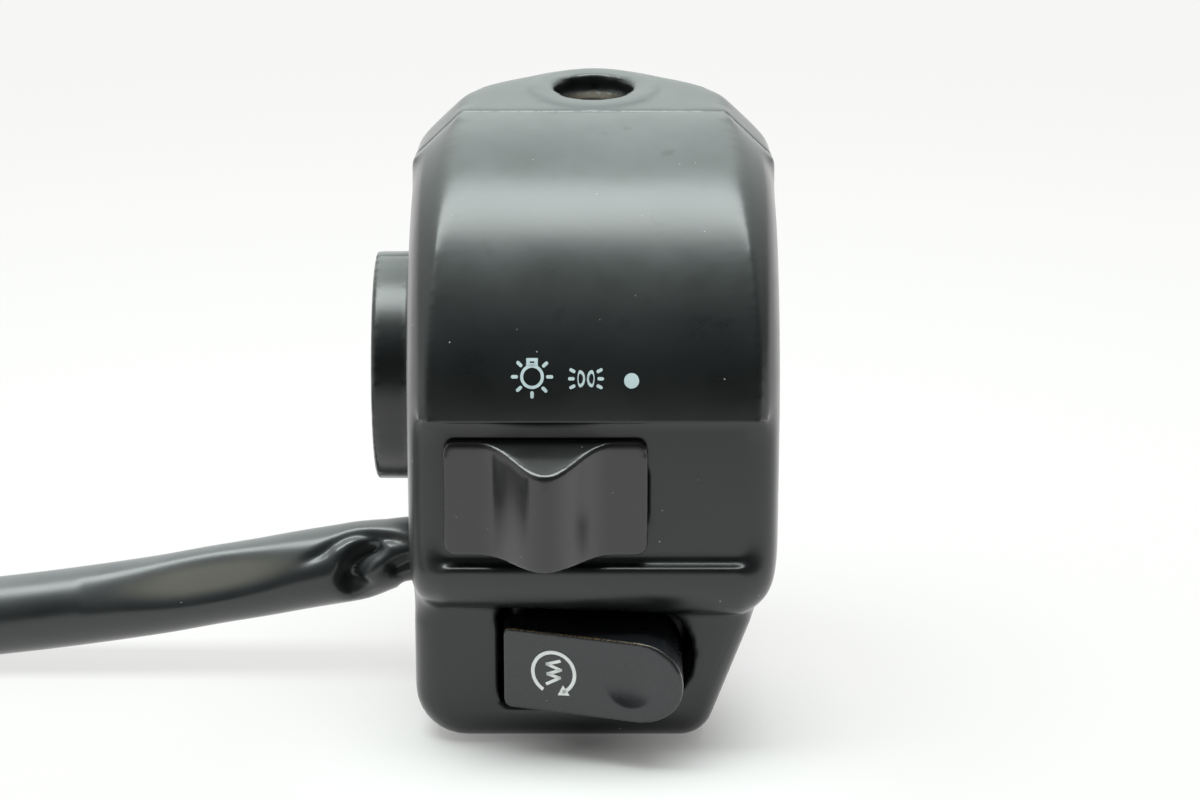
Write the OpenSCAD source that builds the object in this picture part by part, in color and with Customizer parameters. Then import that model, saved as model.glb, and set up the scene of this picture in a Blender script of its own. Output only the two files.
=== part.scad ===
// Right-hand handlebar switch cluster: a two-part casing that clamps a handlebar, with a sliding
// light switch, a hinged starter button, a threaded mirror hole and a sleeved wiring loom.
// X runs along the bar towards the grip, Y points forwards, away from the rider, and Z is up.
// The origin is on the bar axis, midway between the casing's side walls. Sizes are in mm.

/* [Handlebar] */
// Diameter of the handlebar that the casing clamps
bar_d = 22.2; // [20:0.1:24]
// Wall of the inboard collar
collar_wall = 2.4; // [1.8:0.1:4]
// How far the collar stands out of the inboard side
collar_len = 4.7; // [2:0.1:10]

/* [Casing] */
// Width of the casing along the bar
body_w = 42; // [41:0.5:48]
// Thickness of the casing's walls
wall = 2.4; // [2:0.1:2.8]
// Radius of the crowned panel about the bar axis
crown_r = 31; // [30.5:0.5:35]
// Width of the flat top at the parting plane
top_flat_w = 30.6; // [27:0.2:33]
// How far the side bevels fall at the parting plane
bevel_drop = 5.5; // [4.5:0.1:6.5]
// How far the bevels' axis sits towards the rider
bevel_shift = 2.9; // [2:0.1:3.5]
// Height of the crown's lower edge above the bar axis
ledge_z = 3.2; // [2.4:0.1:4]
// Height of the slider's channel
channel_h = 17.3; // [16.8:0.1:19]
// Depth of the channel behind the crown
channel_depth = 1.7; // [1.2:0.1:2]
// Height of the lip under the channel
lip_h = 6.9; // [6.6:0.1:7.4]
// How much lower the lip's foot lies at the outboard side
lip_fall = 1.4; // [0.6:0.1:1.6]
// How far the lip's face is set behind the crown
lip_back = 0.4; // [0.1:0.1:0.9]
// Rounding of the lip's lower edge
lip_round = 5.6; // [4.5:0.1:5.8]
// Height of the chin that holds the starter button
chin_h = 17; // [16.6:0.1:22]
// How far the chin's face is set behind the crown
chin_back = 6; // [5:0.1:7]
// Rounding around the chin's face
chin_round = 3.5; // [2:0.1:4]
// How far the chin's outboard edge starts inside the casing's side
chin_step = 1.8; // [1.8:0.1:3]
// How far the chin's outboard edge leans in towards its foot
chin_lean = 6.4; // [4:0.1:6.6]
// Corner radius of the chin's inboard foot
chin_in_r = 6; // [4.5:0.1:7]
// Corner radius of the chin's outboard foot
chin_out_r = 4; // [3.6:0.1:5]
// Corner radius under the casing's inboard side
side_in_r = 3; // [1.5:0.5:4]
// Corner radius under the casing's outboard side
side_out_r = 5.5; // [3:0.5:6]

/* [Front half] */
// How far the round front stands past the casing's half width
dome_extra = 1.5; // [1:0.1:4]
// Rounding of the front half's upper edges
dome_round = 5; // [2:0.5:6]
// How far the round front draws in at its foot
dome_draft = 1; // [0.5:0.1:1.2]
// Distance of the mirror hole in front of the bar axis
mirror_y = 8.5; // [8:0.1:9]
// Lean of the front half's top and the mirror hole towards the rider
mirror_tilt = 4; // [2:0.5:5]
// Drill diameter of the mirror thread
mirror_drill_d = 6.8; // [5:0.1:8.5]
// Diameter of the mouth above the mirror thread
mirror_mouth_d = 9.3; // [9:0.1:11]
// Depth of the mouth above the mirror thread
mirror_mouth_h = 2.4; // [1:0.1:4]
// Depth of the mirror hole below its pad
mirror_depth = 16; // [12:0.5:17]
// Diameter of the raised pad around the mirror hole
mirror_pad_d = 14.8; // [14:0.1:16]
// Height of the raised pad around the mirror hole
mirror_pad_h = 0.3; // [0.2:0.1:0.8]
// Thickness of the ribs that hold the bar
rib_t = 2; // [1.5:0.1:3]
// Distance of each rib from the middle of the casing
rib_x = 8; // [7.5:0.1:9]

/* [Light switch] */
// Width of the slider's plate
slider_w = 22.8; // [22.5:0.1:24]
// Height of the slider's plate
slider_h = 13.7; // [13:0.1:14]
// How far the plate stands out of the channel
slider_t = 1.1; // [0.8:0.1:1.6]
// Height of the finger ridge over the plate
ridge_h = 5.6; // [4:0.1:8]
// Width of the finger ridge at its foot
ridge_w = 15; // [10:0.5:18]
// Slope of the slider's top face
slider_slope = 20; // [15:1:32]
// Corner radius of the slider's plate
slider_r = 1.4; // [0.5:0.1:2.5]
// Gap between the ledge and the slider
slider_drop = 2.2; // [2:0.1:2.6]
// Place of the ridge along the bar, with the headlamp on
slider_x = -5.3; // [-5.6:0.1:-5]
// Travel of the slider
slider_travel = 9; // [7:0.5:9]
// Width of the slider's stem
stem_w = 4; // [3.6:0.1:4.2]
// Height of the slider's stem
stem_h = 6; // [5:0.1:6.4]

/* [Starter] */
// Place of the pocket's inboard wall along the bar
pocket_x0 = -10.9; // [-11.2:0.1:-10.7]
// Place of the pocket's outboard end along the bar
pocket_x1 = 11.5; // [11.3:0.1:11.8]
// Depth of the pocket behind the chin's face
pocket_depth = 11.5; // [11:0.1:12]
// Height of the button's middle over the foot
button_up = 10.7; // [10.3:0.1:10.9]
// Height of the button
button_h = 9.7; // [9:0.1:10]
// How far the button's inboard end stands out of the chin
button_low = 2.6; // [2:0.1:3.5]
// How far the button's tip stands out of the chin
button_high = 9; // [7:0.1:10]
// Radius of the finger dimple
dimple_r = 3.25; // [2:0.05:3.6]
// Depth of the finger dimple
dimple_depth = 0.6; // [0.3:0.1:1]
// Diameter of the button's hinge pin
pin_d = 2; // [1.6:0.1:2.4]
// Place of the plunger along the bar
plunger_x = 1.5; // [1.2:0.1:1.8]
// Diameter of the plunger
plunger_d = 3.6; // [3:0.1:3.8]

/* [Loom] */
// Outside diameter of the loom's sleeve
sleeve_d = 9.5; // [8.6:0.1:10]
// Diameter of the sleeve where the casing holds it
sleeve_neck_d = 8.2; // [7.6:0.1:8.4]
// Height of the sleeve's exit over the foot
exit_up = 14.4; // [14.1:0.1:14.7]
// Diameter of one insulated lead
lead_d = 1.4; // [1:0.1:1.5]
// Gap between the hank's neighbouring runs
hank_gap = 1; // [0.6:0.1:2]
// Radius of the hank's outer bend
hank_r = 28.5; // [28:0.5:34]
// Width of the tie around the hank
tie_w = 4; // [3:0.1:6]
// Thickness of the tie
tie_t = 1.1; // [0.9:0.1:1.2]
// Length of the connector
plug_l = 26; // [24:0.5:28]
// Width of the connector
plug_w = 17; // [16:0.5:19]
// Height of the connector
plug_h = 13; // [12:0.5:15]

/* [Hidden] */
$fn = 48;

// Clearances and overlaps
eps = 0.01;
slide_gap = 0.15;
run_gap = 0.06;
thread_gap = 0.05;
rest_gap = 0.1;
far = 60;

// Heights of the casing's steps
half_w = body_w / 2;
bar_r = bar_d / 2;
z_top = crown_r;
z_lip_top = ledge_z - channel_h;
z_lip = z_lip_top - lip_h;
z_side = z_lip - lip_fall / 2;
z_deck = z_lip + lip_fall / 2 + wall;
z_foot = z_lip - chin_h;
y_channel = channel_depth - crown_r;
y_lip = lip_back - crown_r;
y_chin = chin_back - crown_r;
lip_lean = atan2(lip_fall, body_w);

// Side bevels: a cone about an axis set towards the rider, and its straight run below the bar
bevel_run = half_w - top_flat_w / 2;
bevel_r_top = norm([bevel_shift, z_top]);
bevel_r_side = norm([bevel_shift, z_top - bevel_drop]);
bevel_k = (bevel_r_top - bevel_r_side) / bevel_run;
bevel_far = bevel_r_top + 3;

// Chin outline
chin_x0 = 0.4 - half_w;
chin_x1 = half_w - chin_step;
chin_k = chin_lean / chin_h;
chin_lap = 1;

// Front half
dome_r = half_w + dome_extra;
dome_top_r = top_flat_w / 2 + 2.2;
dome_rise = 2.4;

// Light switch places
slider_z = ledge_z - slider_drop - slider_h / 2;
y_slider = y_channel - slide_gap;
y_plate = y_channel - slider_t;
ridge_n = 14;
y_wall = y_channel + wall;
carrier_w = 9;
carrier_h = 12.8;
carrier_y0 = y_wall + 0.4;
carrier_t = 5.3;
carrier_y1 = carrier_y0 + carrier_t;
socket_d = 2.4;
base_y0 = carrier_y1 + 1.2;
base_t = 3;
base_y1 = base_y0 + base_t;
base_h = 14.8;
post_x = [-13, 12.5];
post_r = 2.5;
rivet_step = slider_travel / 2;
rivet_x = [for (i = [0:3]) slider_x + rivet_step * (i - 0.5)];
rivet_z = slider_z + 4.3;
rivet_head_t = 0.6;
ball_r = 1.25;
ball_z = slider_z - 4.6;
ball_y = base_y0 - 0.05 - ball_r;
detent_r = ball_r + 0.1;
knob_screw_r = 1.1;
base_screw_l = 8;
base_screw_head_r = 2.7;
tag_t = 0.6;
tag_y0 = base_y1 + 3;

// Starter places
button_z = z_foot + button_up;
pocket_top = z_lip;
pocket_bottom = button_z - button_h / 2 - 1.05;
pocket_r = 6;
y_floor = y_chin + pocket_depth;
floor_t = 2;
y_back = y_floor + floor_t;
z_room = pocket_top + wall;
button_x0 = pocket_x0 + 0.7;
button_x1 = pocket_x1 - 1.3;
y_low = y_chin - button_low;
y_high = y_chin - button_high;
y_button = y_chin + 4.5;
button_skin = 1.7;
face_lean = atan2(y_low - y_high, button_x1 - button_x0);
dimple_x = button_x1 - 6.1;
dimple_y = y_low - (dimple_x - button_x0) * tan(face_lean);
dimple_ball = (dimple_r * dimple_r + dimple_depth * dimple_depth) / (2 * dimple_depth);
nub_y0 = y_low - (plunger_x - button_x0) * tan(face_lean) + button_skin / 2;
pin_x = pocket_x0 + 2.3;
pin_y = y_chin + 2.2;
pin_r = pin_d / 2;
plunger_r = plunger_d / 2;
plunger_y0 = y_button + 0.65;
flange_y = plunger_y0 + 0.7;
flange_t = 0.8;
flange_r = 3.1;
disc_y = y_back + 0.4;
disc_t = 0.6;
disc_r = 3.6;
disc_neck_r = 1.2;
disc_head_r = 1.7;
starter_base_y = y_back + 4;
starter_base_t = 2.5;
starter_base_h = 10;
starter_base_w = 17;
starter_screw_l = 6;
starter_post = 6.4;
starter_post_r = 2;
starter_rivet = 2.9;
starter_rivet_r = 0.8;
starter_rivet_y = disc_y + disc_t + 1.6;

// Clamp screws
clamp_side = [10, 9];
clamp_above = 8.9;
clamp_below = 6.4;
clamp_at = [[half_w - clamp_side[0], bar_r + clamp_above], [half_w - clamp_side[1], -bar_r - clamp_below]];
clamp_r = 2.5;
clamp_head_r = 4.3;
clamp_head_h = 3.4;
clamp_seat_y = 12;
clamp_len = 24;
clamp_boss_r = 4;
clamp_boss_l = 14;
clamp_pillar_r = 6;

// Loom places
exit_z = z_foot + exit_up;
neck_r = sleeve_neck_d / 2;
sleeve_r = sleeve_d / 2;
cradle_side = 2;
strap_side = 4;
strap_w = 3.5;
sleeve_past = 0.5;
cradle_x0 = cradle_side - half_w;
cradle_y = 9;
strap_x0 = strap_side - half_w;
strap_x1 = strap_x0 + strap_w;
sleeve_x0 = strap_x1 + sleeve_past;
strap_t = 0.9;
strap_r = neck_r + rest_gap;
strap_screw_r = 1.5;
strap_head_r = 2.6;
strap_screw_z = exit_z - strap_r - strap_t - strap_head_r - rest_gap;
rest_z = z_foot + sleeve_r + rest_gap;

// The loom's route from inside the casing down to the floor: place along the bar, place across
// it, height as a share of the way from the exit down to the rest, and share of full radius.
// It lies beside the casing and leads to the hank.
route = [[sleeve_x0, 0, 0, 0], [-18, 0, 0, 0], [-22, 0, 0, 0], [-25, 0, 0.06, 0.5],
  [-29, 0, 0.15, 1], [-35, 0, 0.26, 1], [-40, 0, 0.36, 1], [-46, 0, 0.47, 1], [-52, 0, 0.59, 1],
  [-58, 0, 0.69, 1], [-64, 0, 0.78, 1], [-70, 0, 0.86, 1], [-76, 0, 0.93, 1], [-82, 0, 0.98, 1],
  [-90, 0, 1, 1]];
sleeve_path = [for (p = route) [p[0], p[1], exit_z + (rest_z - exit_z) * p[2]]];
sleeve_radii = [for (p = route) neck_r + (sleeve_r - neck_r) * p[3]];

// The hank: out along one run, round the outer bend, back, round the inner bend and in again
hank_x0 = -90;
hank_out_x = -165;
hank_back_x = -115;
hank_end_x = -135;
hank_pitch = sleeve_d + hank_gap;
hank_in_r = hank_r - hank_pitch / 2;
bend_n = 12;
hank_path = concat(
  [for (x = [hank_x0:-15:hank_out_x + 10]) [x, 0, rest_z]],
  [for (i = [0:bend_n]) let (a = 90 + 180 * i / bend_n)
    [hank_out_x + hank_r * cos(a), -hank_r + hank_r * sin(a), rest_z]],
  [for (x = [hank_out_x + 17:17:hank_back_x - 10]) [x, -2 * hank_r, rest_z]],
  [for (i = [0:bend_n]) let (a = 270 + 180 * i / bend_n)
    [hank_back_x + hank_in_r * cos(a), hank_in_r - 2 * hank_r + hank_in_r * sin(a), rest_z]],
  [[hank_end_x + 10, -hank_pitch, rest_z], [hank_end_x, -hank_pitch, rest_z]]);
hank_dense = [for (i = [0:len(hank_path) - 2], k = [0:4])
  hank_path[i] + (hank_path[i + 1] - hank_path[i]) * k / 5];
hank_skip = 40;
hank_least = min([for (i = [0:len(hank_dense) - 1 - hank_skip],
  j = [i + hank_skip:len(hank_dense) - 1]) norm(hank_dense[i] - hank_dense[j])]) - sleeve_d;
echo(least_gap_of_hank_to_itself = hank_least);
tie_x = -124;
tie_r = sleeve_r + rest_gap / 2;

// Connector at the loom's end, lying inside the hank
plug_x1 = hank_end_x - 17;
plug_x0 = plug_x1 - plug_l;
plug_y = -hank_pitch - 9;
plug_z0 = z_foot + rest_gap;
plug_skin = 1.3;
plug_web = 12;
plug_col = 5;
plug_row = [plug_h * 0.3, plug_h * 0.7];
plug_ways = [for (r = [0:1], c = [-1:1]) [plug_y + c * plug_col, plug_z0 + plug_row[r]]];
lead_fan = [[-2, -1.6], [0, -2.3], [2, -1.6], [-2, 1.2], [0, 2.2], [2, 1.2]];
lead_r = lead_d / 2;

// Leads inside the casing, from the sleeve's end to the solder tags
tag_y = tag_y0 + tag_t / 2;
tag_low = rivet_z - 3.2;
start_y = starter_base_y + starter_base_t + 0.8 + tag_t;
lead_x0 = sleeve_x0 + lead_r;
lead_end_y = start_y + lead_r * 0.75;
lead_drop = 7;
light_turn_z = slider_z - lead_drop;
light_y = y_back + 3.5;
start_run_y = start_y + 2.4;
head_path = [[lead_x0, -1.6, exit_z + 1.4], [sleeve_x0 + 2, -3.4, exit_z + 3.1],
  [-9.2, light_y, exit_z + 6.1],
  [-7.8, tag_y + 1.2, light_turn_z], [rivet_x[0], tag_y, light_turn_z + 4],
  [rivet_x[0], tag_y, tag_low - slide_gap]];
feed_path = [[lead_x0, 0.2, exit_z + 2.2], [sleeve_x0 + 2.5, -3, exit_z + 4.8],
  [-6, light_y - 0.5, exit_z + 7.6],
  [-3.4, tag_y + 1.2, light_turn_z + 0.5], [rivet_x[1], tag_y, light_turn_z + 4],
  [rivet_x[1], tag_y, tag_low - slide_gap]];
tail_path = [[lead_x0, -2, exit_z - 1], [sleeve_x0 + 3.5, light_y + 4, exit_z + 2.3],
  [-4, light_y, exit_z + 4.8],
  [1, tag_y + 2, light_turn_z - 1.6], [rivet_x[2], tag_y, light_turn_z + 4],
  [rivet_x[2], tag_y, tag_low - slide_gap]];
start_path = [[lead_x0, -0.4, exit_z - 2.3], [sleeve_x0 + 4, start_run_y + 0.3, button_z + 0.3],
  [-5, start_run_y, button_z],
  [-2.4, start_y + 1.4, button_z], [plunger_x - starter_rivet, lead_end_y, button_z]];
relay_path = [[lead_x0, 1.6, exit_z - 0.8], [sleeve_x0 + 4, start_run_y + 2.9, exit_z - 1],
  [-5, start_run_y + 2.8, exit_z - 1.9], [0, start_run_y + 2.2, exit_z - 2.7], [3.2, start_run_y, button_z],
  [plunger_x + starter_rivet, lead_end_y, button_z]];

// Outlines
function unit(v) = v / norm(v);

function corner_arc(a, b, c, r, n) =
  let (u = unit(a - b), v = unit(c - b), half = acos(u * v) / 2,
    m = b + unit(u + v) * r / sin(half), s = b + u * r / tan(half) - m,
    e = b + v * r / tan(half) - m, a0 = atan2(s[1], s[0]), d = atan2(e[1], e[0]) - a0,
    turn = d > 180 ? d - 360 : d < -180 ? d + 360 : d)
  [for (i = [0:n]) m + r * [cos(a0 + turn * i / n), sin(a0 + turn * i / n)]];

function rounded(p, r, n = 8) = [for (i = [0:len(p) - 1])
  each r[i] <= 0 ? [p[i]] : corner_arc(p[(i + len(p) - 1) % len(p)], p[i], p[(i + 1) % len(p)], r[i], n)];

function bevel_r(x, inset) =
  bevel_r_top - (x - top_flat_w / 2) * bevel_k - inset * norm([1, bevel_k]);

function bevel_profile(inset) =
  let (s = half_w - inset, rs = bevel_r(s, inset),
    f = top_flat_w / 2 + (bevel_r(top_flat_w / 2, inset) - bevel_far) / bevel_k)
  [[0, -s], [rs, -s], [bevel_far, -f], [bevel_far, f], [rs, s], [0, s]];

function bevel_plan(inset) = [for (p = bevel_profile(inset))
  [p[1], p[0] > 0 ? -bevel_shift - p[0] : 1]];

function chin_points(inset, top) =
  let (k = inset * norm([1, chin_k]))
  rounded([[chin_x0 + inset, top], [chin_x0 + inset, z_foot + inset],
    [chin_x1 - chin_lean + chin_k * inset - k, z_foot + inset], [chin_x1 - k, z_lip], [chin_x1 - k, top]],
    [0, max(chin_in_r - inset, 0.4), max(chin_out_r - inset, 0.4), 0, 0]);

function upper_points(inset) =
  let (s = half_w - inset, l = norm([bevel_run, bevel_drop]), k = bevel_run / bevel_drop,
    x = top_flat_w / 2 - dome_rise * k)
  rounded([[-s, z_side + inset], [s, z_side + inset],
    [s, z_top - bevel_drop + inset * (bevel_drop - l) / bevel_run],
    [x + inset * (bevel_run - l) / bevel_drop, z_top + dome_rise - inset],
    [-x - inset * (bevel_run - l) / bevel_drop, z_top + dome_rise - inset],
    [-s, z_top - bevel_drop + inset * (bevel_drop - l) / bevel_run]],
    [max(side_in_r - inset, 0.5), max(side_out_r - inset, 0.5), 2, 0, 0, 2]);

function dome_points(inset) = rounded([[0, z_foot + inset],
  [dome_r - dome_draft - inset, z_foot + inset], [dome_r - inset, -bar_r],
  [dome_r - inset, z_top - bevel_drop - inset / 2],
  [dome_top_r - dome_rise - inset / 2, z_top + dome_rise - inset], [0, z_top + dome_rise - inset]],
  [0, 3, 0, dome_round, 0, 0]);

pocket_points = rounded([[pocket_x0, pocket_top], [pocket_x1, pocket_top],
  [pocket_x1, pocket_bottom], [pocket_x0, pocket_bottom]], [0.8, pocket_r, pocket_r, 1.2]);

function button_points(inset) =
  let (h = button_h / 2 - inset)
  rounded([[button_x0 + inset, button_z + h], [button_x1 - inset, button_z + h],
    [button_x1 - inset, button_z - h], [button_x0 + inset, button_z - h]],
    [0.8, h - 0.05, h - 0.05, 0.8]);

function button_plan(inset) = [[button_x0 - 1, y_button + (inset > 0 ? 1 : 0)],
  [button_x1 + 1, y_button + (inset > 0 ? 1 : 0)],
  [button_x1 + 1, y_high - tan(face_lean) + inset], [button_x0 - 1, y_low + tan(face_lean) + inset]];

knob_plan = concat([[-slider_w / 2, y_slider], [slider_w / 2, y_slider], [slider_w / 2, y_plate]],
  [for (i = [ridge_n:-1:-ridge_n]) let (u = i / ridge_n)
    [u * ridge_w / 2, y_plate - ridge_h * (1 + cos(180 * u)) / 2]],
  [[-slider_w / 2, y_plate]]);

// Shared shapes
module box(lo, hi) { translate(lo) cube(hi - lo); }
module rod_x(x0, x1, y, z, r) { translate([x0, y, z]) rotate([0, 90, 0]) cylinder(h = x1 - x0, r = r); }
module rod_y(y0, y1, x, z, r) { translate([x, y0, z]) rotate([-90, 0, 0]) cylinder(h = y1 - y0, r = r); }
module rod_z(z0, z1, x, y, r) { translate([x, y, z0]) cylinder(h = z1 - z0, r = r); }
module slab_x(x0, x1) { translate([x0, 0, 0]) rotate([90, 0, 90]) linear_extrude(x1 - x0) children(); }
module slab_y(y0, y1) { translate([0, y1, 0]) rotate([90, 0, 0]) linear_extrude(y1 - y0) children(); }
module slab_z(z0, z1) { translate([0, 0, z0]) linear_extrude(z1 - z0) children(); }

// A screw along Y whose head is forwards: its seat is at y
module screw(x, y, z, r, length, head_r, head_h) {
  rod_y(y - length, y + eps, x, z, r);
  difference() {
    rod_y(y, y + head_h, x, z, head_r);
    for (a = [0, 90])
      translate([x, y + head_h, z]) rotate([0, a, 0])
        cube([head_r * 1.1, head_h * 1.1, head_r * 0.26], center = true);
  }
}

// A closed tube along a path, in triangles
function path_dir(p, i) = unit(p[min(i + 1, len(p) - 1)] - p[max(i - 1, 0)]);
module tube(p, radii, sides, ref = [0, 0, 1]) {
  n = len(p);
  points = [for (i = [0:n - 1]) let (t = path_dir(p, i), u = unit(cross(ref, t)), v = cross(t, u))
    for (j = [0:sides - 1]) p[i] + radii[i] * (u * cos(360 * j / sides) + v * sin(360 * j / sides))];
  skin = [for (i = [0:n - 2], j = [0:sides - 1]) let (k = (j + 1) % sides, a = i * sides)
    each [[a + j, a + sides + j, a + sides + k], [a + j, a + sides + k, a + k]]];
  first = [for (j = [1:sides - 2]) [0, j, j + 1]];
  last = [for (j = [1:sides - 2]) [(n - 1) * sides, (n - 1) * sides + j + 1, (n - 1) * sides + j]];
  polyhedron(points = points, faces = concat(skin, first, last));
}

function same(r, n) = [for (i = [1:n]) r];

// A helical spring along Y
module spring(x, z, y0, y1, coil_r, wire_r, turns) {
  n = round(turns * 8);
  p = [for (i = [0:n]) let (a = 360 * turns * i / n)
    [x + coil_r * cos(a), y0 + wire_r + (y1 - y0 - 2 * wire_r) * i / n, z + coil_r * sin(a)]];
  tube(p, same(wire_r, n + 1), 6, [0, 1, 0]);
}

// Rear half
module crown_quarter() {
  difference() {
    intersection() {
      rod_x(-half_w, half_w, 0, 0, crown_r, $fn = 128);
      box([-half_w - 1, -crown_r - 1, 0], [half_w + 1, 0, crown_r + 1]);
    }
    box([-half_w - 1, -crown_r - 2, -1], [half_w + 1, y_channel, ledge_z]);
  }
}

module bevel_turned(inset) {
  translate([0, -bevel_shift, 0]) rotate([0, 90, 0])
    rotate_extrude($fn = 128) polygon(bevel_profile(inset));
}

// The channel's wall and, below it, the round lip, which leans a little towards the grip
module lip_block() {
  box([-half_w, y_channel, z_lip + lip_round], [half_w, 0, 0]);
  intersection() {
    translate([0, 0, z_lip]) rotate([0, lip_lean, 0]) slab_x(-body_w, body_w)
      polygon(rounded([[0, 0], [0, 2 * lip_h], [y_lip, 2 * lip_h], [y_lip, 0]], [0, 0, 0, lip_round]));
    box([-half_w, -far, -far], [half_w, 0, z_lip_top]);
  }
}

module chin_block() {
  hull() {
    for (i = [0:5]) let (a = 90 * i / 5)
      slab_y(y_chin + chin_round * (1 - cos(a)), y_chin + chin_round * (1 - cos(a)) + eps)
        polygon(chin_points(chin_round * (1 - sin(a)), z_lip + chin_lap));
    slab_y(-eps, 0) polygon(chin_points(0, z_lip + chin_lap));
  }
}

module rear_outer() {
  intersection() {
    union() {
      intersection() {
        crown_quarter();
        bevel_turned(0);
      }
      intersection() {
        lip_block();
        slab_z(z_side, 0) polygon(bevel_plan(0));
      }
    }
    slab_y(-far, 1) polygon(rounded([[-half_w, z_side], [half_w, z_side], [half_w, z_top + 1],
      [-half_w, z_top + 1]], [side_in_r, side_out_r, 0, 0]));
  }
  chin_block();
}

module rear_cavity() {
  intersection() {
    rod_x(-half_w, half_w, 0, 0, crown_r - wall, $fn = 128);
    bevel_turned(wall);
    box([-half_w, -crown_r, ledge_z + wall], [half_w, 1, crown_r]);
  }
  box([wall - half_w, y_wall, z_deck], [half_w - wall, 1, ledge_z + wall + eps]);
  slab_y(y_chin + wall, 1) polygon(chin_points(wall, z_deck + eps));
}

module rear_inside() {
  intersection() {
    union() {
      box([pocket_x0 - floor_t, y_chin, z_foot], [pocket_x1 + floor_t, y_back, z_room]);
      for (x = post_x)
        rod_y(y_channel + 1, base_y0, x, slider_z, post_r);
      for (c = clamp_at)
        rod_y(-clamp_boss_l, 0, c[0], c[1], clamp_boss_r);
      box([clamp_at[0][0] - clamp_boss_r, -clamp_boss_l, clamp_at[0][1]],
        [clamp_at[0][0] + clamp_boss_r, 0, z_top]);
      box([clamp_at[1][0], -clamp_boss_l, clamp_at[1][1] - clamp_boss_r],
        [half_w - 1, 0, clamp_at[1][1] + clamp_boss_r]);
      for (s = [-1, 1])
        rod_y(y_floor + 1, starter_base_y, plunger_x + s * starter_post, button_z, starter_post_r);
      box([cradle_x0, -cradle_y, z_foot + 1], [sleeve_x0, 0, exit_z + neck_r + 1]);
    }
    rear_outer();
  }
}

module rear_housing() {
  color("#1b1b1d") difference() {
    union() {
      difference() {
        rear_outer();
        rear_cavity();
      }
      rear_inside();
      intersection() {
        rod_x(-half_w - collar_len, -half_w + 1, 0, 0, bar_r + collar_wall);
        box([-far, -far, -far], [far, 0, far]);
      }
    }
    rod_x(-far, far, 0, 0, bar_r);
    rod_x(-far, sleeve_x0 + 1, 0, exit_z, neck_r + rest_gap);
    slab_y(-far, y_floor) polygon(pocket_points);
    box([slider_x - stem_w / 2 - slide_gap, -far, slider_z - stem_h / 2 - slide_gap],
      [slider_x + slider_travel + stem_w / 2 + slide_gap, y_wall + 1, slider_z + stem_h / 2 + slide_gap]);
    for (x = post_x)
      rod_y(base_y0 - 5.5, base_y0 + 1, x, slider_z, 1.5 + thread_gap);
    for (c = clamp_at)
      rod_y(clamp_seat_y - clamp_len - 1, 1, c[0], c[1], clamp_r + thread_gap);
    for (s = [-1, 1])
      rod_y(starter_base_y - 4.5, starter_base_y + 1, plunger_x + s * starter_post, button_z,
        1.25 + thread_gap);
    rod_z(pocket_bottom - 2.5, pocket_top + 1.6, pin_x, pin_y, pin_r + 0.02);
    rod_y(y_floor - 1, y_back + 1, plunger_x, button_z, plunger_r + run_gap);
    rod_y(-cradle_y + 1, 1, (strap_x0 + strap_x1) / 2, strap_screw_z, strap_screw_r + thread_gap);
  }
}

// Front half
module under_top(drop) {
  translate([0, 0, z_top - drop]) rotate([mirror_tilt, 0, 0]) mirror([0, 0, 1])
    box([-far, -far, 0], [far, far, 2 * far]);
}

module front_outer() {
  intersection() {
    slab_y(0, far) {
      polygon(upper_points(0));
      polygon(chin_points(0, z_lip + chin_lap));
    }
    rotate_extrude($fn = 128) polygon(dome_points(0));
    under_top(0);
  }
}

module front_cavity() {
  intersection() {
    slab_y(-1, far) {
      polygon(upper_points(wall));
      polygon(chin_points(wall, z_deck + eps));
    }
    rotate_extrude($fn = 128) polygon(dome_points(wall));
    under_top(wall);
  }
}

module at_mirror() {
  translate([0, 0, z_top]) rotate([mirror_tilt, 0, 0]) translate([0, mirror_y, 0]) children();
}

module front_housing() {
  color("#1b1b1d") difference() {
    union() {
      difference() {
        front_outer();
        front_cavity();
      }
      intersection() {
        union() {
          at_mirror() rod_z(-mirror_depth - 4, 0, 0, 0, mirror_pad_d / 2 - 0.5);
          for (c = clamp_at)
            rod_y(0, far, c[0], c[1], clamp_pillar_r);
          for (s = [-1, 1])
            box([s * rib_x - rib_t / 2, 0, -bar_r - 2.5], [s * rib_x + rib_t / 2, far, far]);
        }
        front_outer();
      }
      at_mirror() rod_z(-3, mirror_pad_h, 0, 0, mirror_pad_d / 2);
      intersection() {
        rod_x(-half_w - collar_len, -half_w + 1, 0, 0, bar_r + collar_wall);
        box([-far, 0, -far], [far, far, far]);
      }
    }
    rod_x(-far, far, 0, 0, bar_r);
    rod_x(-far, 1 - half_w + wall, 0, exit_z, neck_r + rest_gap);
    for (c = clamp_at) {
      rod_y(-1, far, c[0], c[1], clamp_r + 0.3);
      rod_y(clamp_seat_y, far, c[0], c[1], clamp_head_r + 0.4);
    }
    at_mirror() {
      rod_z(mirror_pad_h - mirror_depth, mirror_pad_h + 1, 0, 0, mirror_drill_d / 2);
      rod_z(mirror_pad_h - mirror_mouth_h, mirror_pad_h + 1, 0, 0, mirror_mouth_d / 2);
    }
  }
}

module clamp_screws() {
  color("#9a9da0") for (c = clamp_at)
    screw(c[0], clamp_seat_y, c[1], clamp_r, clamp_len, clamp_head_r, clamp_head_h);
}

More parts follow.
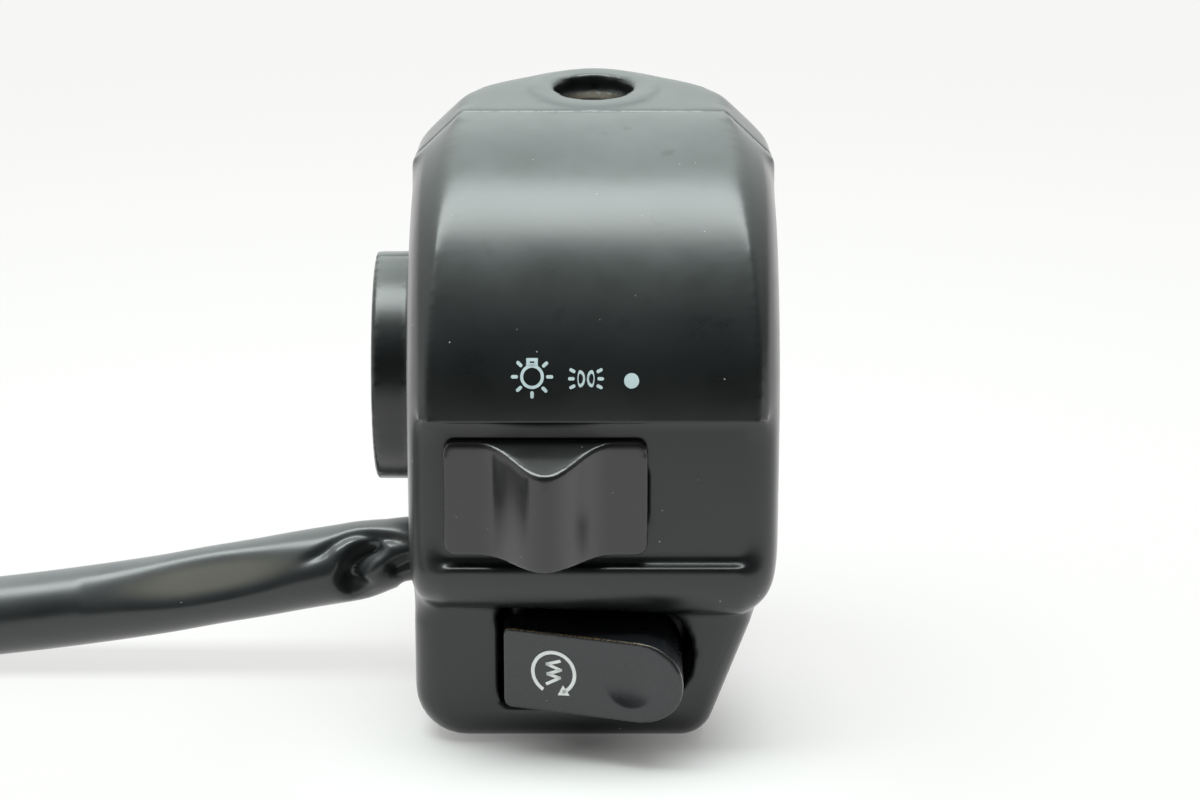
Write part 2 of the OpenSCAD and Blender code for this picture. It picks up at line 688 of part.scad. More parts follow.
// Light switch
module light_knob() {
  color("#101012") difference() {
    union() {
      intersection() {
        translate([slider_x, 0, slider_z]) slab_z(-slider_h / 2, slider_h / 2) polygon(knob_plan);
        translate([slider_x, 0, slider_z]) slab_y(-far, 0)
          polygon(rounded([[-slider_w / 2, -slider_h / 2], [slider_w / 2, -slider_h / 2],
            [slider_w / 2, slider_h / 2], [-slider_w / 2, slider_h / 2]],
            [slider_r, slider_r, slider_r, slider_r]));
      }
      box([slider_x - stem_w / 2, y_slider - 0.5, slider_z - stem_h / 2],
        [slider_x + stem_w / 2, carrier_y0 + socket_d - rest_gap, slider_z + stem_h / 2]);
    }
    translate([slider_x, y_slider, slider_z + slider_h / 2]) rotate([slider_slope, 0, 0])
      box([-far, -far, 0], [far, 0, far]);
    rod_y(y_plate + 0.4, far, slider_x, slider_z, knob_screw_r + thread_gap);
  }
}

module light_knob_screw() {
  color("#b9bbbd") screw(slider_x, carrier_y1 - 1.6, slider_z, knob_screw_r, 6, 2.2, 1.3);
}

module light_carrier() {
  color("#6b3a20") difference() {
    box([slider_x - carrier_w / 2, carrier_y0, slider_z - carrier_h / 2],
      [slider_x + carrier_w / 2, carrier_y1, slider_z + carrier_h / 2]);
    box([slider_x - stem_w / 2 - rest_gap, carrier_y0 - 1, slider_z - stem_h / 2 - rest_gap],
      [slider_x + stem_w / 2 + rest_gap, carrier_y0 + socket_d, slider_z + stem_h / 2 + rest_gap]);
    rod_y(carrier_y0, carrier_y1 + 1, slider_x, slider_z, knob_screw_r + 0.2);
    rod_y(carrier_y1 - 1.6, carrier_y1 + 1, slider_x, slider_z, 2.4);
    rod_y(carrier_y0 + 1, carrier_y1 + 1, slider_x, ball_z, detent_r);
  }
}

module light_contact() {
  color("#c9a24a")
    box([slider_x - 4, carrier_y1, rivet_z - 1.4], [slider_x + 4, carrier_y1 + 0.4, rivet_z + 1.4]);
}

module detent_spring() {
  color("#b9bbbd") spring(slider_x, ball_z, carrier_y0 + 1.05, ball_y - ball_r * 0.75, 0.9, 0.2, 4);
}

module detent_ball() {
  color("#c8cacc") translate([slider_x, ball_y, ball_z]) sphere(r = ball_r);
}

module light_base() {
  color("#6b3a20") difference() {
    box([post_x[0] - 2.6, base_y0, slider_z - base_h / 2],
      [post_x[1] + 2.6, base_y1, slider_z + base_h / 2]);
    for (x = post_x)
      rod_y(base_y0 - 1, base_y1 + 1, x, slider_z, 1.7);
    for (x = rivet_x)
      rod_y(base_y0 - 1, base_y1 + 1, x, rivet_z, 0.85);
    for (i = [0:2])
      translate([slider_x + i * slider_travel / 2, base_y0 - ball_r, ball_z]) sphere(r = ball_r + 0.35);
  }
}

module light_terminals() {
  color("#c9a24a") for (x = rivet_x) {
    rod_y(base_y0 - rivet_head_t, base_y0, x, rivet_z, 1.4);
    rod_y(base_y0 - eps, tag_y0 + eps, x, rivet_z, 0.8);
    box([x - 1.1, tag_y0, tag_low], [x + 1.1, tag_y0 + tag_t, rivet_z + 1.1]);
  }
}

module light_base_screws() {
  color("#b9bbbd") for (x = post_x)
    screw(x, base_y1, slider_z, 1.5, base_screw_l, base_screw_head_r, 1.9);
}

// Starter switch
module starter_button() {
  color("#1f2022") difference() {
    union() {
      difference() {
        intersection() {
          slab_y(-far, 0) polygon(button_points(0));
          slab_z(z_foot, z_lip) polygon(button_plan(0));
        }
        intersection() {
          slab_y(-far, 0) polygon(button_points(button_skin));
          slab_z(z_foot, z_lip) polygon(button_plan(button_skin));
        }
      }
      rod_z(button_z - button_h / 2 + 0.5, button_z + button_h / 2 - 0.5, pin_x, pin_y, pin_r + 0.6);
      rod_y(nub_y0, plunger_y0 - 0.35, plunger_x, button_z, 1.5);
    }
    rod_z(z_foot, z_lip, pin_x, pin_y, pin_r + run_gap);
    translate([dimple_x, dimple_y, button_z]) rotate([0, 0, -face_lean])
      translate([0, dimple_depth - dimple_ball, 0]) sphere(r = dimple_ball, $fn = 96);
  }
}

module starter_pin() {
  color("#b9bbbd") rod_z(pocket_bottom - 2.3, pocket_top + 1.4, pin_x, pin_y, pin_r);
}

module starter_plunger() {
  color("#d9d2bd") {
    rod_y(plunger_y0, disc_y, plunger_x, button_z, plunger_r);
    rod_y(flange_y, flange_y + flange_t, plunger_x, button_z, flange_r);
    rod_y(disc_y - eps, disc_y + disc_t + eps, plunger_x, button_z, disc_neck_r);
    rod_y(disc_y + disc_t, disc_y + disc_t + 0.6, plunger_x, button_z, disc_head_r);
  }
}

module starter_contact() {
  color("#c9a24a") difference() {
    rod_y(disc_y, disc_y + disc_t, plunger_x, button_z, disc_r);
    rod_y(disc_y - 1, disc_y + disc_t + 1, plunger_x, button_z, disc_neck_r + thread_gap);
  }
}

module starter_spring() {
  color("#b9bbbd") spring(plunger_x, button_z, flange_y + flange_t + 0.02, y_floor - 0.02, 2.5, 0.3, 4);
}

module starter_base() {
  color("#6b3a20") difference() {
    box([plunger_x - starter_base_w / 2, starter_base_y, button_z - starter_base_h / 2],
      [plunger_x + starter_base_w / 2, starter_base_y + starter_base_t, button_z + starter_base_h / 2]);
    for (s = [-1, 1]) {
      rod_y(starter_base_y - 1, far, plunger_x + s * starter_post, button_z, 1.4);
      rod_y(starter_base_y - 1, far, plunger_x + s * starter_rivet, button_z, 0.65);
    }
  }
}

module starter_terminals() {
  color("#c9a24a") for (s = [-1, 1]) {
    rod_y(starter_rivet_y, starter_base_y, plunger_x + s * starter_rivet, button_z, starter_rivet_r);
    rod_y(starter_base_y - eps, start_y - tag_t + eps, plunger_x + s * starter_rivet, button_z, 0.6);
    box([plunger_x + s * starter_rivet - 1, start_y - tag_t, button_z - 1],
      [plunger_x + s * starter_rivet + 1, start_y, button_z + 1]);
  }
}

module starter_base_screws() {
  color("#b9bbbd") for (s = [-1, 1])
    screw(plunger_x + s * starter_post, starter_base_y + starter_base_t, button_z, 1.25, starter_screw_l,
      2.1, 1.5);
}

// Loom
module harness_clamp() {
  color("#a9acae") difference() {
    union() {
      intersection() {
        rod_x(strap_x0, strap_x1, 0, exit_z, strap_r + strap_t);
        box([-far, 0, -far], [0, far, 0]);
      }
      box([strap_x0, 0, strap_screw_z - strap_head_r], [strap_x1, strap_t, exit_z - strap_r]);
      box([strap_x0, 0, exit_z + strap_r], [strap_x1, strap_t, exit_z + strap_r + 2]);
    }
    rod_x(strap_x0 - 1, strap_x1 + 1, 0, exit_z, strap_r);
    rod_y(-1, far, (strap_x0 + strap_x1) / 2, strap_screw_z, strap_screw_r + 0.15);
  }
}

module harness_clamp_screw() {
  color("#b9bbbd")
    screw((strap_x0 + strap_x1) / 2, strap_t, strap_screw_z, strap_screw_r, 7, strap_head_r, 1.9);
}

module harness_sleeve() { color("#26272a") tube(sleeve_path, sleeve_radii, 12); }
module harness_hank() { color("#26272a") tube(hank_path, same(sleeve_r, len(hank_path)), 8); }

module tie_loop(r) {
  for (y = [0, -hank_pitch])
    rod_x(tie_x - far * (r < tie_r ? 1 : 0), tie_x + tie_w + far * (r < tie_r ? 1 : 0), y, rest_z, r);
  box([tie_x - far * (r < tie_r ? 1 : 0), -hank_pitch, rest_z - r],
    [tie_x + tie_w + far * (r < tie_r ? 1 : 0), 0, rest_z + r]);
}

module hank_tie() {
  color("#141416") {
    difference() {
      tie_loop(tie_r);
      tie_loop(tie_r - tie_t);
    }
    box([tie_x - 0.8, -hank_pitch / 2 - 2.4, rest_z + tie_r - 0.4],
      [tie_x + tie_w + 0.8, -hank_pitch / 2 + 2.4, rest_z + tie_r + 3.6]);
  }
}

module lead_head() { color("#2b5fae") tube(head_path, same(lead_r, len(head_path)), 6, [1, 0.1, 0.1]); }
module lead_feed() { color("#b3261e") tube(feed_path, same(lead_r, len(feed_path)), 6, [1, 0.1, 0.1]); }
module lead_tail() { color("#6a4326") tube(tail_path, same(lead_r, len(tail_path)), 6, [1, 0.1, 0.1]); }
module lead_start() { color("#2f7d3b") tube(start_path, same(lead_r, len(start_path)), 6); }
module lead_relay() { color("#202124") tube(relay_path, same(lead_r, len(relay_path)), 6); }

// Six leads from the sleeve's end to the connector, easing across
module plug_leads() {
  color("#b9b4a6") for (w = [0:5]) {
    a = [hank_end_x - rest_gap, -hank_pitch + lead_fan[w][0], rest_z + lead_fan[w][1]];
    b = [plug_x1 + rest_gap, plug_ways[w][0], plug_ways[w][1]];
    path = [for (i = [0:8]) let (t = i / 8, s = t * t * (3 - 2 * t))
      [a[0] + (b[0] - a[0]) * t, a[1] + (b[1] - a[1]) * s, a[2] + (b[2] - a[2]) * s]];
    tube(path, same(lead_r, len(path)), 6);
  }
}

module plug_shell() {
  color("#e9e6dc") difference() {
    union() {
      box([plug_x0, plug_y - plug_w / 2, plug_z0], [plug_x1, plug_y + plug_w / 2, plug_z0 + plug_h]);
      translate([0, plug_y, plug_z0 + plug_h]) {
        box([plug_x0 + 3, -3, -eps], [plug_x1 - 6, 3, 1.4]);
        box([plug_x0 + 3, -4, -eps], [plug_x0 + 5, 4, 2.2]);
      }
    }
    box([plug_x0 - 1, plug_y - plug_w / 2 + plug_skin, plug_z0 + plug_skin],
      [plug_x0 + plug_web, plug_y + plug_w / 2 - plug_skin, plug_z0 + plug_h - plug_skin]);
    for (w = plug_ways)
      rod_x(plug_x1 - 2.5, plug_x1 + 1, w[0], w[1], lead_r + 0.4);
    for (w = plug_ways)
      box([plug_x0 + plug_web - 1, w[0] - 1.05, w[1] - 0.45],
        [plug_x0 + plug_web + 4, w[0] + 1.05, w[1] + 0.45]);
  }
}

module plug_pins() {
  color("#c9a24a") for (w = plug_ways)
    box([plug_x0 + 3.5, w[0] - 1, w[1] - 0.4], [plug_x0 + plug_web + 4, w[0] + 1, w[1] + 0.4]);
}

rear_housing();
front_housing();
clamp_screws();
light_knob();
light_knob_screw();
light_carrier();
light_contact();
detent_spring();
detent_ball();
light_base();
light_terminals();
light_base_screws();
starter_button();
starter_pin();
starter_plunger();
starter_contact();
starter_spring();
starter_base();
starter_terminals();
starter_base_screws();
harness_clamp();
harness_clamp_screw();
harness_sleeve();
harness_hank();
hank_tie();
lead_head();
lead_feed();
lead_tail();
lead_start();
lead_relay();
plug_leads();
plug_shell();
plug_pins();
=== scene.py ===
# Right-hand handlebar switch cluster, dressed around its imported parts: painted casing, moulded
# switches, printed symbols and a sleeved loom. Names that end in Mm hold millimetres.
import math

import bmesh
import bpy
from mathutils import Euler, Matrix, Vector


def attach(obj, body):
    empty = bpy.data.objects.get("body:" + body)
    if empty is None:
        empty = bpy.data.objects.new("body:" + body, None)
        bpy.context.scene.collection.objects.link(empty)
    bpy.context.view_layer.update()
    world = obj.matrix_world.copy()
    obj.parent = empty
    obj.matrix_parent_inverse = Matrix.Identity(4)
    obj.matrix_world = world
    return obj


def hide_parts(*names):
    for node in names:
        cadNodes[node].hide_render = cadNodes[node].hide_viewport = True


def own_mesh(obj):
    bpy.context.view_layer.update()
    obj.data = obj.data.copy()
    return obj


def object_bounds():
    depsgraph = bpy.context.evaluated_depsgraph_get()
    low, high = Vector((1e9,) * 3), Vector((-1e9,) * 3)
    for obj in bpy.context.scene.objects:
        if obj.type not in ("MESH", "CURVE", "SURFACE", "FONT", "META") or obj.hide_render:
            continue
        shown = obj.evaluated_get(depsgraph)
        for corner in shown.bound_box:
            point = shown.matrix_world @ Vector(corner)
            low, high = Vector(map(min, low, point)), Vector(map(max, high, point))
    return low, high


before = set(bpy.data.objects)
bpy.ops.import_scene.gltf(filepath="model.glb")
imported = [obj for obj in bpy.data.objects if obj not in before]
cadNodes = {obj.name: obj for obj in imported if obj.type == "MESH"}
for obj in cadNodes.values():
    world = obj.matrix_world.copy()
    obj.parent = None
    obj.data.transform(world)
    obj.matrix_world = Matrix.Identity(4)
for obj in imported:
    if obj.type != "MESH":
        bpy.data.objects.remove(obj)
cadLow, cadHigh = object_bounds()
mm = 0.001
print("frame:", len(cadNodes), "nodes")


# Modelling helpers
def clearPick():
    if bpy.context.object is not None and bpy.context.object.mode != "OBJECT":
        bpy.ops.object.mode_set(mode="OBJECT")
    bpy.ops.object.select_all(action="DESELECT")


def pick(piece):
    clearPick()
    piece.select_set(True)
    bpy.context.view_layer.objects.active = piece


def edit(piece, kind="FACE"):
    pick(piece)
    bpy.ops.object.mode_set(mode="EDIT")
    bpy.ops.mesh.select_mode(type=kind)
    bpy.ops.mesh.select_all(action="DESELECT")


def editAll(piece, kind="FACE"):
    edit(piece, kind)
    bpy.ops.mesh.select_all(action="SELECT")


def leaveEdit():
    bpy.ops.object.mode_set(mode="OBJECT")


def pickFaces(piece, test):
    shape = bmesh.from_edit_mesh(piece.data)
    for face in shape.faces:
        face.select_set(bool(test(face.calc_center_median(), face.normal)))
    bmesh.update_edit_mesh(piece.data)


def pickEdges(piece, test):
    shape = bmesh.from_edit_mesh(piece.data)
    for edge in shape.edges:
        a, b = (vert.co for vert in edge.verts)
        edge.select_set(bool(test((a + b) / 2, (b - a).normalized())))
    bmesh.update_edit_mesh(piece.data)


def extrudeX(distance):
    bpy.ops.mesh.extrude_region_move(TRANSFORM_OT_translate={"value": (distance, 0, 0)})


def applyPlace(piece):
    pick(piece)
    bpy.ops.object.transform_apply(location=True, rotation=True, scale=True)
    return piece


def startBox(lowMm, highMm):
    clearPick()
    low, high = Vector(lowMm) * mm, Vector(highMm) * mm
    bpy.ops.mesh.primitive_cube_add(size=1, location=(low + high) / 2)
    bpy.context.object.scale = high - low
    return applyPlace(bpy.context.object)


def startRod(fromMm, toMm, radiusMm, sides=32):
    clearPick()
    start, end = Vector(fromMm) * mm, Vector(toMm) * mm
    turn = (end - start).to_track_quat("Z", "Y").to_euler()
    bpy.ops.mesh.primitive_cylinder_add(
        vertices=sides, radius=radiusMm * mm, depth=(end - start).length,
        location=(start + end) / 2, rotation=turn)
    return applyPlace(bpy.context.object)


def finishWith(piece, kind, **settings):
    pick(piece)
    modifier = piece.modifiers.new(kind, kind)
    for name, value in settings.items():
        setattr(modifier, name, value)
    bpy.ops.object.modifier_apply(modifier=modifier.name)
    return piece


def roundEdges(piece, widthMm, segments, angle=50):
    finishWith(piece, "BEVEL", width=widthMm * mm, segments=segments, limit_method="ANGLE",
               angle_limit=math.radians(angle))


def cutWith(piece, tool):
    finishWith(piece, "BOOLEAN", operation="DIFFERENCE", object=tool, solver="EXACT")
    bpy.data.objects.remove(tool)


def joinAll(pieces):
    pick(pieces[0])
    for piece in pieces[1:]:
        piece.select_set(True)
    bpy.ops.object.join()
    return pieces[0]


def copyAt(piece, moveMm):
    twin = bpy.data.objects.new(piece.name, piece.data.copy())
    bpy.context.scene.collection.objects.link(twin)
    twin.location = Vector(moveMm) * mm
    return applyPlace(twin)


def closeEnds(piece):
    editAll(piece, "EDGE")
    bpy.ops.mesh.remove_doubles(threshold=0.000001)
    bpy.ops.mesh.fill_holes(sides=0)
    bpy.ops.mesh.select_all(action="SELECT")
    bpy.ops.mesh.normals_make_consistent(inside=False)
    leaveEdit()


def dress(piece, name, body, finish, replaced=(), smooth=35):
    applyPlace(piece)
    if smooth:
        bpy.ops.object.shade_smooth_by_angle(angle=math.radians(smooth))
    piece.name = name
    piece.data.name = name
    piece.data.materials.clear()
    piece.data.materials.append(finish["material"])
    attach(piece, body)
    if replaced:
        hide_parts(*replaced)
    return piece


def softCopy(node, voxelMm, steps):
    piece = bpy.data.objects.new(node + "Copy", cadNodes[node].data.copy())
    bpy.context.scene.collection.objects.link(piece)
    editAll(piece, "VERT")
    bpy.ops.mesh.remove_doubles(threshold=0.000002)
    leaveEdit()
    finishWith(piece, "REMESH", mode="VOXEL", voxel_size=voxelMm * mm, use_smooth_shade=True)
    return finishWith(piece, "SMOOTH", factor=0.5, iterations=steps)


# Rounds the edges of one part of a piece: the test gives each point's share, from 0 to 1
def softenWhere(piece, steps, test):
    group = piece.vertex_groups.new(name="soft")
    for vert in piece.data.vertices:
        share = test(vert.co / mm)
        if share > 0.01:
            group.add([vert.index], share, "REPLACE")
    finishWith(piece, "SMOOTH", factor=0.5, iterations=steps, vertex_group="soft")
    piece.vertex_groups.clear()


def ramp(value, low, high):
    t = max(0.0, min(1.0, (value - low) / (high - low)))
    return t * t * (3 - 2 * t)


everyHeightMm = (-100, -99)


# How far each point stands out over its neighbours, for the rubbed edges, and how far it faces up, for the
# dust and the painted sheen
def markSurface(piece, dustAndSheenMm=everyHeightMm):
    shape = bmesh.new()
    shape.from_mesh(piece.data)
    lifts, lying = [], []
    for vert in shape.verts:
        lying.append(max(0.0, vert.normal.z) ** 3 * ramp(vert.co.z / mm, *dustAndSheenMm))
        rise = sum(vert.normal.dot((e.other_vert(vert).co - vert.co).normalized()) for e in vert.link_edges)
        lifts.append(-rise / max(1, len(vert.link_edges)))
    shape.free()
    piece.data.attributes.new("rim", "FLOAT", "POINT").data.foreach_set("value", lifts)
    piece.data.attributes.new("facingUp", "FLOAT", "POINT").data.foreach_set("value", lying)


def makeSoft(item, dustAndSheenMm=everyHeightMm):
    piece = softCopy(item["node"], item["voxelMm"], item["smooth"])
    softenWhere(piece, item["softSteps"], item["softTest"])
    markSurface(piece, dustAndSheenMm)
    print(item["piece"], len(piece.data.polygons), "faces")
    return piece


# Material helpers
def linearColour(hexText):
    parts = [int(hexText[i:i + 2], 16) / 255 for i in (1, 3, 5)]
    return tuple(c / 12.92 if c <= 0.04045 else ((c + 0.055) / 1.055) ** 2.4 for c in parts) + (1.0,)


def addNode(tree, kind, inputs=None, **settings):
    node = tree.nodes.new("ShaderNode" + kind)
    for name, value in settings.items():
        setattr(node, name, value)
    for key, value in (inputs or {}).items():
        if isinstance(value, bpy.types.NodeSocket):
            tree.links.new(value, node.inputs[key])
        else:
            node.inputs[key].default_value = value
    return node


def fit(tree, value, low, high, end=1.0, start=0.0, smooth=False):
    node = addNode(tree, "MapRange", {
        "Value": value, "From Min": low, "From Max": high, "To Min": start, "To Max": end})
    node.interpolation_type = "SMOOTHSTEP" if smooth else "LINEAR"
    return node.outputs["Result"]


def reckon(tree, kind, *values):
    return addNode(tree, "Math", dict(enumerate(values)), operation=kind).outputs[0]


def attribute(tree, name):
    return addNode(tree, "Attribute", attribute_name=name).outputs["Fac"]


# Distance from a centre, counted in half sizes of an ellipse
def ringsRound(tree, place, centre, half):
    scaled = addNode(tree, "Mapping", {
        "Vector": place, "Scale": (1 / half.x, 1 / half.y, 1),
        "Location": (-centre.x / half.x, -centre.y / half.y, 0)})
    return addNode(tree, "VectorMath", {0: scaled.outputs["Vector"]}, operation="LENGTH").outputs["Value"]


def mixColours(tree, share, under, over):
    return addNode(tree, "Mix", {0: share, 6: under, 7: over}, data_type="RGBA").outputs[2]


blotchSpan = (0.3, 0.7)  # the part of a noise's range that its blotches use


# Every finish has blotches in its colour and gloss, and a fine grain, of a size and depth, that lifts it
def finishMaterial(name, finish):
    material = bpy.data.materials.new(name)
    material.use_nodes = True
    tree = material.node_tree
    shader = tree.nodes["Principled BSDF"]
    shader.inputs["Metallic"].default_value = finish.get("metallic", 0.0)
    shader.inputs["IOR"].default_value = finish.get("ior", 1.5)
    place = addNode(tree, "TexCoord").outputs["Object"]
    if "uv" in finish:
        place = addNode(tree, "UVMap", uv_map=finish["uv"]).outputs["UV"]
    drawn = addNode(tree, "Mapping", {"Vector": place, "Scale": finish.get("stretch", (1, 1, 1))})
    blotch = addNode(tree, "TexNoise", {
        "Vector": place, "Scale": 1 / (finish["blotchMm"] * mm), "Detail": 4.0, "Roughness": 0.6})
    grain = addNode(tree, "TexNoise", {
        "Vector": drawn.outputs["Vector"], "Scale": 1 / (finish["grainMm"][0] * mm), "Detail": 3.0})
    blotch, grain = blotch.outputs["Fac"], grain.outputs["Fac"]
    dark, light = (linearColour(c) for c in finish["colours"])
    low, high = finish["roughness"]
    colour = mixColours(tree, fit(tree, blotch, *blotchSpan), dark, light)
    gloss = fit(tree, blotch, *blotchSpan, high, low)
    bump = addNode(tree, "Bump", {"Height": grain, "Strength": 1.0, "Distance": finish["grainMm"][1] * mm})
    tree.links.new(colour, shader.inputs["Base Color"])
    tree.links.new(gloss, shader.inputs["Roughness"])
    tree.links.new(bump.outputs["Normal"], shader.inputs["Normal"])
    return {"material": material, "tree": tree, "shader": shader, "place": place, "grain": grain,
            "blotch": blotch, "colour": colour, "gloss": gloss}


# Lays another colour and gloss over a finish where the share says
def overlay(made, share, colourHex, roughness):
    tree, shader = made["tree"], made["shader"]
    made["colour"] = mixColours(tree, share, made["colour"], linearColour(colourHex))
    blend = addNode(tree, "Mix", {0: share, 2: made["gloss"], 3: roughness}, data_type="FLOAT")
    made["gloss"] = blend.outputs[0]
    tree.links.new(made["colour"], shader.inputs["Base Color"])
    tree.links.new(made["gloss"], shader.inputs["Roughness"])


# Specks of dust: a few cells of a 3-D cell pattern, each with a round spot
def dustShare(made, cellMm, spotMm, keep):
    tree = made["tree"]
    cells = addNode(tree, "TexVoronoi", {"Vector": made["place"], "Scale": 1 / (cellMm * mm)}).outputs
    chance = addNode(tree, "SeparateColor", {"Color": cells["Color"]}).outputs["Red"]
    spot = reckon(tree, "LESS_THAN", cells["Distance"], spotMm / cellMm)
    return reckon(tree, "MULTIPLY", spot, reckon(tree, "LESS_THAN", chance, keep))


# A film of dust and painted sheen, pale on whatever faces up, uneven with the blotches
def dustAndSheenShare(made, strength):
    tree = made["tree"]
    uneven = fit(tree, made["blotch"], *blotchSpan, strength, strength * 0.8)
    return reckon(tree, "MULTIPLY", attribute(tree, "facingUp"), uneven)


# Rubbed edges: the rim attribute, broken up by the grain
def rimShare(made, start, full, strength):
    tree = made["tree"]
    worn = fit(tree, attribute(tree, "rim"), start, full, strength)
    return reckon(tree, "MULTIPLY", worn, fit(tree, made["grain"], 0.4, 0.62))


# Dried drops: patches of a slow noise
def stainShare(made, sizeMm, low, high, strength):
    noise = addNode(made["tree"], "TexNoise", {
        "Vector": made["place"], "Scale": 1 / (sizeMm * mm), "Detail": 2.0}).outputs["Fac"]
    return fit(made["tree"], noise, low, high, strength, smooth=True)


# A pale thin line along the parting line, on top only
seamSet = {"halfMm": (0.42, 0.2), "aboveMm": (26, 28), "share": 0.5, "grain": (0.36, 0.56)}


def seamShare(made):
    tree = made["tree"]
    at = addNode(tree, "SeparateXYZ", {"Vector": made["place"]}).outputs
    far, near = (y * mm for y in seamSet["halfMm"])
    line = fit(tree, reckon(tree, "ABSOLUTE", at["Y"]), far, near, seamSet["share"])
    high = fit(tree, at["Z"], *(z * mm for z in seamSet["aboveMm"]))
    broken = fit(tree, made["grain"], *seamSet["grain"])
    return reckon(tree, "MULTIPLY", reckon(tree, "MULTIPLY", line, high), broken)


# Camera
cameraSet = {
    "placeMm": (0.76, -408.95, 132.88),
    "lookDown": 18.562,  # degrees below level
    "lensMm": 108.51,  # on a sensor 36 mm wide
}
clearPick()
bpy.ops.object.camera_add(
    location=Vector(cameraSet["placeMm"]) * mm,
    rotation=(math.radians(90 - cameraSet["lookDown"]), 0, 0))
camera = bpy.context.object
camera.data.sensor_width = 36
camera.data.lens = cameraSet["lensMm"]
camera.data.clip_start = 0.01
bpy.context.scene.camera = camera
print("camera set")


# Tubes along a line of points
def smoothLine(points, stepMm):
    line = []
    for i in range(len(points) - 1):
        a, b, c, d = (points[max(0, min(len(points) - 1, i + k))] for k in (-1, 0, 1, 2))
        cuts = max(1, round((c - b).length / stepMm))
        for k in range(cuts):
            t = k / cuts
            line.append(0.5 * (2 * b + (c - a) * t + (2 * a - 5 * b + 4 * c - d) * t ** 2
                               + (3 * b - a - 3 * c + d) * t ** 3))
    return line + [points[-1]]


girthUv = 0.03  # how much of a pattern goes once round a tube


# Each ring's points come from sectionAt(point, along, angle), as lengths up and to the side
def sweepTube(name, line, sides, sectionAt, reference=(0, 0, 1), hollowMm=0):
    shell = bmesh.new()
    uv = shell.loops.layers.uv.new("along")
    rings, marks, along = [], [], 0.0

    def addRing(point, ahead, share):
        side = Vector(reference).cross(ahead).normalized()
        up = ahead.cross(side)
        ring = []
        for j in range(sides):
            high, wide = sectionAt(point, along, 2 * math.pi * j / sides)
            ring.append(shell.verts.new((point + share * (up * high + side * wide)) * mm))
        rings.append(ring)
        marks.append(along)

    last = len(line) - 1
    heads = [(line[min(i + 1, last)] - line[max(i - 1, 0)]).normalized() for i in range(last + 1)]
    inner = 0.84
    if hollowMm:
        addRing(line[0] + heads[0] * hollowMm, heads[0], inner)
        addRing(line[0], heads[0], inner)
    for i, point in enumerate(line):
        along += (point - line[i - 1]).length if i else 0
        addRing(point, heads[i], 1.0)
    if hollowMm:
        addRing(line[-1], heads[-1], inner)
        addRing(line[-1] - heads[-1] * hollowMm, heads[-1], inner)
    for i in range(len(rings) - 1):
        for j in range(sides):
            k = (j + 1) % sides
            face = shell.faces.new((rings[i][j], rings[i][k], rings[i + 1][k], rings[i + 1][j]))
            for loop, (at, turn) in zip(face.loops, ((i, j), (i, j + 1), (i + 1, j + 1), (i + 1, j))):
                loop[uv].uv = (marks[at] * mm, turn / sides * girthUv)
    shell.faces.new(rings[0])
    shell.faces.new(rings[-1])
    bmesh.ops.recalc_face_normals(shell, faces=shell.faces)
    mesh = bpy.data.meshes.new(name)
    shell.to_mesh(mesh)
    shell.free()
    piece = bpy.data.objects.new(name, mesh)
    bpy.context.scene.collection.objects.link(piece)
    return piece


# Loom sleeve: plasticised PVC tube, extruded, limp and satin, with handling folds near the casing
sleeveSet = {
    "exitMm": (-21, 0, -23.6),
    "fallMm": 9.55,  # from the exit down to the floor
    "radiusMm": 4.75,
    "neckRadiusMm": 4.1, "neckRunMm": (1, 8),
    "sides": 96,
    "stepMm": 0.45,
    "hollowMm": 6,
    # place along the bar and share of the fall, from inside the casing to the hank
    "route": [(-13, 0), (-18, 0), (-22, 0), (-25, 0.06), (-29, 0.15), (-35, 0.26), (-40, 0.36),
              (-46, 0.47), (-52, 0.59), (-58, 0.69), (-64, 0.78), (-70, 0.86), (-76, 0.93), (-82, 0.98),
              (-90, 1)],
    "hankOutX": -165, "hankBackX": -115, "hankEndX": -135, "hankRadiusMm": 28.5, "hankPitchMm": 10.5,
    "tieX": -122, "tiePinchMm": 1.0,
    # flattened stretches: middle along, half length, angle from the top, half angle, dish depth
    "flats": [(25.5, 15.5, 56, 33, 0.25), (30, 26, 205, 24, 0.1), (62, 20, 300, 22, 0.1)],
    # folds: depth, half width, and places as (along, angle from the top)
    "folds": [(0.5, 0.62, [(14.2, 60), (11.8, 51), (9.8, 38), (7.7, 28), (5.2, 29), (2.8, 43), (1, 60)]),
              (2.5, 1.3, [(3.8, 45), (6.2, 60), (7.9, 85), (8.3, 105), (7.3, 130)]),
              (0.7, 0.9, [(3.6, 100), (1.9, 94), (0, 86)]),
              (1.3, 2.4, [(4, 172), (2, 177), (0, 180), (-2, 180)])],
    "edgeMm": 0.34,  # softness of a flat's rim
    # brown painted sheen on the first flat: middle and half length along, middle and half angle, fade and
    # share
    "flatSheenMm": (33.5, 13), "flatSheenAngle": (55.2, 28.8), "flatSheenFade": (1.05, 0.4), "flatSheenShare": 0.5,
}


def hankPoints():
    s = sleeveSet
    low = s["exitMm"][2] - s["fallMm"]
    big, small = s["hankRadiusMm"], s["hankRadiusMm"] - s["hankPitchMm"] / 2
    points = [Vector((x, 0, low)) for x in (-105, -120, -135, -150)]
    for i in range(13):
        a = math.radians(90 + 15 * i)
        points.append(Vector((s["hankOutX"] + big * math.cos(a), -big + big * math.sin(a), low)))
    points += [Vector((x, -2 * big, low)) for x in (-148, -131)]
    for i in range(13):
        a = math.radians(270 + 15 * i)
        points.append(Vector((
            s["hankBackX"] + small * math.cos(a), small - 2 * big + small * math.sin(a), low)))
    return points + [Vector((s["hankEndX"] + 10, -s["hankPitchMm"], low)),
                     Vector((s["hankEndX"], -s["hankPitchMm"], low))]


